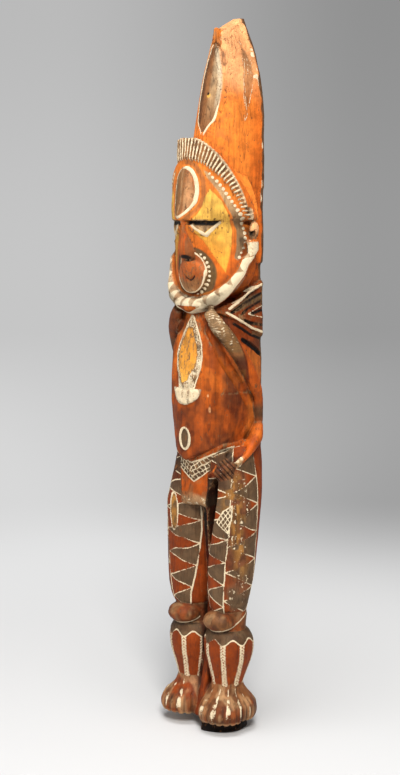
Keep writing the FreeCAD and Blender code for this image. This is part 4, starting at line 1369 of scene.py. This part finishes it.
def paint_material(name, chip, dirt, dullness):
    """Earth pigment rubbed into carved wood, with chalk lines on top, chips, grain and dirt; hollows are
    darkened towards black as grime and painted shade.
    """
    material, tree = new_material(name)
    graph = Graph(tree)
    place = graph.node("ShaderNodeTexCoord").outputs["Object"]
    pigment = graph.attribute("pigment", "Color")
    chalk, bare = graph.attribute("chalk"), graph.attribute("bare")
    hollow, edge = graph.attribute("hollow"), graph.attribute("edge")

    blotch = graph.noise(place, 55, 4, rough=0.6)
    cloud = graph.noise(place, 17, 2)
    grain = graph.noise(place, 620, 3, stretch=(1, 1, 0.07), rough=0.65)
    coarse_grain = graph.noise(place, 210, 3, stretch=(1, 1, 0.05), rough=0.6)
    speck = graph.noise(place, 420, 2, rough=0.7)
    flake = graph.noise(place, 170, 4, stretch=(1, 1, 0.6), rough=0.62)
    fine = graph.noise(place, 1100, 2, rough=0.6)

    shade = graph.ramp(blotch, 0.30, 0.72, 0.70, 1.16)
    shade_colour = graph.node("ShaderNodeCombineColor", Red=shade, Green=shade, Blue=shade).outputs[0]
    tone = graph.mix(1.0, pigment, shade_colour, "MULTIPLY")
    browned = graph.mix(0.6, tone, rgba("brown"), "MULTIPLY")
    warm = graph.mix(graph.ramp(cloud, 0.35, 0.7, 0.0, 0.35), tone, browned)
    rubbed = graph.ramp(coarse_grain, 0.52, 0.68, 0.0, 0.42)
    grained = graph.mix(rubbed, warm, graph.mix(0.75, warm, rgba("dark_brown"), "MULTIPLY"))
    hairs = graph.ramp(grain, 0.56, 0.70, 0.0, 0.34)
    haired = graph.mix(hairs, grained, rgba("dark_brown"))
    chip_line = graph.math("ADD", flake, graph.times(edge, 0.16))
    chips = graph.ramp(chip_line, 0.655 - 0.05 * chip, 0.70 - 0.05 * chip, 0.0, 0.85)
    wood = graph.mix(graph.ramp(coarse_grain, 0.35, 0.65), rgba("brown", 0.8), rgba("dark_brown"))
    chipped = graph.mix(chips, haired, wood)

    flaked = graph.times(graph.math("SUBTRACT", speck, 0.5), 0.9)
    scraped = graph.times(graph.math("SUBTRACT", coarse_grain, 0.5), 0.7)
    chalk_line = graph.math("ADD", chalk, graph.math("ADD", flaked, scraped))
    chalk_cover = graph.ramp(chalk_line, 0.40, 0.60, 0.0, 0.96)
    chalk_tone = graph.mix(graph.ramp(blotch, 0.35, 0.7), rgba("cream"), rgba("cream", 0.80))
    chalk_dirty = graph.mix(graph.ramp(speck, 0.60, 0.74, 0.0, 0.6), chalk_tone, rgba("grey", 0.8))
    painted = graph.mix(chalk_cover, chipped, chalk_dirty)

    dusty = graph.mix(graph.ramp(fine, 0.62, 0.82, 0.0, 0.18 * dirt), painted, rgba("tan", 0.8))
    # Grime and painted shade: hollows and sunk relief are darkened towards black, more in some places than
    # others.
    in_hollows, uneven = graph.ramp(hollow, 0.12, 0.75, 0.0, 0.85), graph.ramp(cloud, 0.2, 0.6, 0.75, 1.0)
    grime_and_shade = graph.times(in_hollows, uneven)
    grimy_and_shaded = graph.mix(grime_and_shade, dusty, graph.mix(0.8, dusty, rgba("black"), "MULTIPLY"))
    raw = graph.mix(graph.ramp(coarse_grain, 0.35, 0.68), rgba("raw"), rgba("dark_brown"))
    raw = graph.mix(graph.ramp(blotch, 0.45, 0.75, 0.0, 0.5), raw, rgba("tan", 0.55))
    raw = graph.mix(grime_and_shade, raw, rgba("black"))
    final = graph.mix(graph.times(bare, 0.85), grimy_and_shaded, raw)
    rubbing = graph.times(graph.ramp(edge, 0.25, 0.8, 0.0, 0.45), graph.ramp(flake, 0.4, 0.6))
    worn = graph.mix(rubbing, final, graph.mix(0.5, final, rgba("tan")))

    rough = graph.ramp(blotch, 0.3, 0.7, dullness - 0.08, dullness + 0.10)
    rough = graph.weighted(rough, (chalk_cover, 0.12))
    height = graph.times(coarse_grain, 0.9)
    height = graph.weighted(height, (grain, 0.45), (fine, 0.30), (chips, -0.55), (chalk_cover, 0.35))
    bump = graph.node("ShaderNodeBump", Strength=0.55, Distance=0.0011, Height=height)
    shader = graph.node(
        "ShaderNodeBsdfPrincipled", Base_Color=worn, Roughness=rough, Normal=bump.outputs[0],
        Specular_IOR_Level=0.18)
    graph.node("ShaderNodeOutputMaterial", Surface=shader.outputs[0])
    return material


# How chipped, how dusty and how dull each slot's paint is.
SLOT_LOOKS = {
    "orange_pigment": (0.35, 0.35, 0.66),
    "red_pigment": (0.45, 0.4, 0.62),
    "yellow_pigment": (0.2, 0.3, 0.70),
    "white_pigment": (0.5, 0.4, 0.78),
    "grey_pigment": (0.7, 0.8, 0.76),
    "brown_pigment": (0.6, 0.5, 0.60),
    "raw_wood": (0.7, 0.7, 0.74),
}


def build_materials():
    return {slot: paint_material(slot, *looks) for slot, looks in SLOT_LOOKS.items()}


# ---------------------------------------------------------------- pieces

def add_attribute(mesh, name, values):
    made = mesh.attributes.new(name, "FLOAT", "POINT")
    made.data.foreach_set("value", np.ascontiguousarray(values, np.float32))


def add_colour(mesh, name, colours):
    made = mesh.attributes.new(name, "FLOAT_COLOR", "POINT")
    full = np.concatenate([colours, np.ones((len(colours), 1))], 1)
    made.data.foreach_set("color", np.ascontiguousarray(full, np.float32).ravel())


def build_mesh(name, points, quads):
    mesh = bpy.data.meshes.new(name)
    mesh.vertices.add(len(points))
    mesh.vertices.foreach_set("co", np.ascontiguousarray(points * MM, np.float32).ravel())
    mesh.loops.add(quads.size)
    mesh.loops.foreach_set("vertex_index", quads.astype(np.int32).ravel())
    mesh.polygons.add(len(quads))
    mesh.polygons.foreach_set("loop_start", np.arange(0, quads.size, 4, dtype=np.int32))
    mesh.update(calc_edges=True)
    mesh.shade_smooth()
    return mesh


BACK_ALLOWANCE = 1.0
FOOT_MARGIN = 6.0
HOLLOW_REACH = 6.0
EDGE_REACH = 3.0


def sculpt_pieces(materials):
    """Makes one painted piece for each CAD node, and puts it in the node's place."""
    field, nearest, second, owner, sets = carve_field()
    slots = {part["node"]: part["material_slot"] for part in frame["record"]["subparts"]}
    for number, node in enumerate(NODES):
        points, quads = mesh_node(field, second, nearest, owner, sets[node], number)
        normals = field_normals(field, points)
        inward = sample(field, points)
        surface = soft(-inward - 0.55 * VOXEL, 0.35 * VOXEL)
        skin = Skin(points, normals)
        paint(skin, node)
        tool_marks(skin)
        flat = np.clip(points[:, 2:3] / FOOT_MARGIN, 0, 1)
        moved = points + normals * (skin.relief * surface)[:, None] * flat
        moved[:, 2] = np.clip(moved[:, 2] + lift(moved[:, 2]), 0, TOP_Z)
        moved[:, 1] = np.minimum(moved[:, 1], CAD_HIGH.y / MM + BACK_ALLOWANCE)
        mesh = build_mesh(node + "_carved", moved, quads[:, ::-1])
        add_colour(mesh, "pigment", np.clip(skin.colour, 0, 1))
        add_attribute(mesh, "chalk", skin.chalk)
        add_attribute(mesh, "bare", skin.bare)
        # How enclosed each point is, measured like ambient occlusion; the material darkens enclosed places
        # as grime and painted shade.
        openness = sample(field, points + normals * HOLLOW_REACH) / HOLLOW_REACH
        add_attribute(mesh, "hollow", np.clip(1 - openness, 0, 1) + np.clip(-skin.relief * 0.12, 0, 0.4))
        backing = -sample(field, points - normals * EDGE_REACH) / EDGE_REACH
        add_attribute(mesh, "edge", np.clip(1 - backing, 0, 1) + np.clip(skin.relief * 0.15, 0, 0.3))
        piece = bpy.data.objects.new(node + "_carved", mesh)
        bpy.context.scene.collection.objects.link(piece)
        mesh.materials.append(materials[slots[node]])
        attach(piece, "root")
        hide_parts(node)


# ---------------------------------------------------------------- floor, light and camera

FLOOR_RADIUS = 9.0
BEND_RADIUS = 3.0
WALL_HEIGHT = 9.0
LENS = 68.0
SENSOR_WIDTH = 36.0
CAMERA_AZIMUTH = 42.0
CAMERA_DISTANCE = 2.719
CAMERA_HEIGHT = 0.975
CAMERA_SHIFT = -0.1135
CAMERA_PITCH = 3.73
CAMERA_YAW = 0.63
CAMERA_ROLL = -0.15


def build_backdrop():
    """One seamless bowl: a pale floor that bends up into a grey wall. Away from the figure it glows with
    painted light, darker towards the camera's right and higher up.
    """
    profile = [(0.0, 0.0), (2.0, 0.0), (4.5, 0.0), (FLOOR_RADIUS, 0.0)]
    for step in range(1, 13):
        turn = math.pi / 2 * step / 12
        profile.append((FLOOR_RADIUS + BEND_RADIUS * math.sin(turn), BEND_RADIUS * (1 - math.cos(turn))))
    profile.append((FLOOR_RADIUS + BEND_RADIUS, WALL_HEIGHT))
    around = 96
    points, faces = [(0.0, 0.0, 0.0)], []
    for radius, height in profile[1:]:
        for step in range(around):
            turn = 2 * math.pi * step / around
            points.append((radius * math.cos(turn), radius * math.sin(turn), height))
    for step in range(around):
        after = (step + 1) % around
        faces.append((0, 1 + step, 1 + after))
        for level in range(len(profile) - 2):
            low, high = 1 + level * around, 1 + (level + 1) * around
            faces.append((low + step, high + step, high + after, low + after))
    mesh = bpy.data.meshes.new("backdrop")
    mesh.from_pydata(points, [], faces)
    mesh.shade_smooth()
    backdrop = bpy.data.objects.new("backdrop", mesh)
    bpy.context.scene.collection.objects.link(backdrop)
    material, tree = new_material("backdrop_paper")
    graph = Graph(tree)
    place = graph.node("ShaderNodeTexCoord").outputs["Object"]
    split = graph.node("ShaderNodeSeparateXYZ", Vector=place)
    east, north, up = split.outputs
    squares = [graph.times(side, side) for side in (east, north)]
    distance = graph.math("SQRT", graph.math("ADD", *squares))
    turn = math.radians(CAMERA_AZIMUTH)
    across = graph.weighted(graph.times(east, math.cos(turn)), (north, math.sin(turn)))
    across = graph.math("DIVIDE", across, graph.math("MAXIMUM", distance, 0.1))
    # Painted shade in the glow: darker higher up the wall, and darker towards the camera's right side.
    dimmer = graph.ramp(up, 0.2, 3.2, 1.0, 0.87)
    wall = graph.times(graph.ramp(across, -0.14, 0.14, 0.565, 0.325), dimmer)
    middle = graph.ramp(across, -0.3, 0.3, 0.69, 0.36)
    far = graph.mix(graph.ramp(distance, 9.0, 2.0), wall, middle)
    tone = graph.mix(graph.ramp(distance, 2.2, 0.3), far, 0.93)
    paper = graph.node(
        "ShaderNodeBsdfPrincipled", Base_Color=(0.66, 0.66, 0.66, 1.0), Roughness=0.9,
        Specular_IOR_Level=0.1)
    # Painted light: away from the figure the lit paper gives way to this glow.
    glow = graph.node("ShaderNodeEmission", Color=tone)
    blend = graph.node("ShaderNodeMixShader")
    for place, value in enumerate((graph.ramp(distance, 0.35, 1.6), paper.outputs[0], glow.outputs[0])):
        graph.feed(blend, place, value)
    graph.node("ShaderNodeOutputMaterial", Surface=blend.outputs[0])
    mesh.materials.append(material)


def aim(thing, target):
    thing.rotation_euler = (Vector(target) - thing.location).to_track_quat("-Z", "Y").to_euler()


def area_light(name, place, target, size, power, colour=(1, 1, 1)):
    light = bpy.data.lights.new(name, "AREA")
    light.shape = "DISK"
    light.size = size
    light.energy = power
    light.color = colour
    lamp = bpy.data.objects.new(name, light)
    bpy.context.scene.collection.objects.link(lamp)
    lamp.location = place
    aim(lamp, target)
    return lamp


def build_light():
    middle = (0, 0, TOP_Z * MM * 0.55)
    head = (0, 0, TOP_Z * MM * 0.78)
    area_light("key_light", (2.1, -2.0, 2.75), head, 1.1, 128, (1.0, 0.98, 0.95))
    area_light("fill_light", (-2.4, -3.2, 1.6), middle, 2.6, 24, (0.97, 0.98, 1.0))
    area_light("top_light", (0.4, -0.6, 3.9), head, 1.8, 96)
    world = bpy.data.worlds.new("studio")
    bpy.context.scene.world = world
    world.use_nodes = True
    background = world.node_tree.nodes["Background"]
    background.inputs["Color"].default_value = (0.95, 0.97, 1.0, 1.0)
    background.inputs["Strength"].default_value = 0.16


def build_camera():
    camera = bpy.data.cameras.new("camera")
    camera.lens = LENS
    camera.sensor_width = SENSOR_WIDTH
    camera.shift_y = CAMERA_SHIFT
    thing = bpy.data.objects.new("camera", camera)
    bpy.context.scene.collection.objects.link(thing)
    turn = math.radians(CAMERA_AZIMUTH)
    thing.location = (
        CAMERA_DISTANCE * math.sin(turn), AXIS_Y * MM - CAMERA_DISTANCE * math.cos(turn), CAMERA_HEIGHT)
    angles = (90 - CAMERA_PITCH, CAMERA_ROLL, CAMERA_AZIMUTH + CAMERA_YAW)
    thing.rotation_euler = [math.radians(angle) for angle in angles]
    bpy.context.scene.camera = thing


bpy.context.scene.view_settings.view_transform = "Standard"
build_camera()
build_light()
build_backdrop()
sculpt_pieces(build_materials())
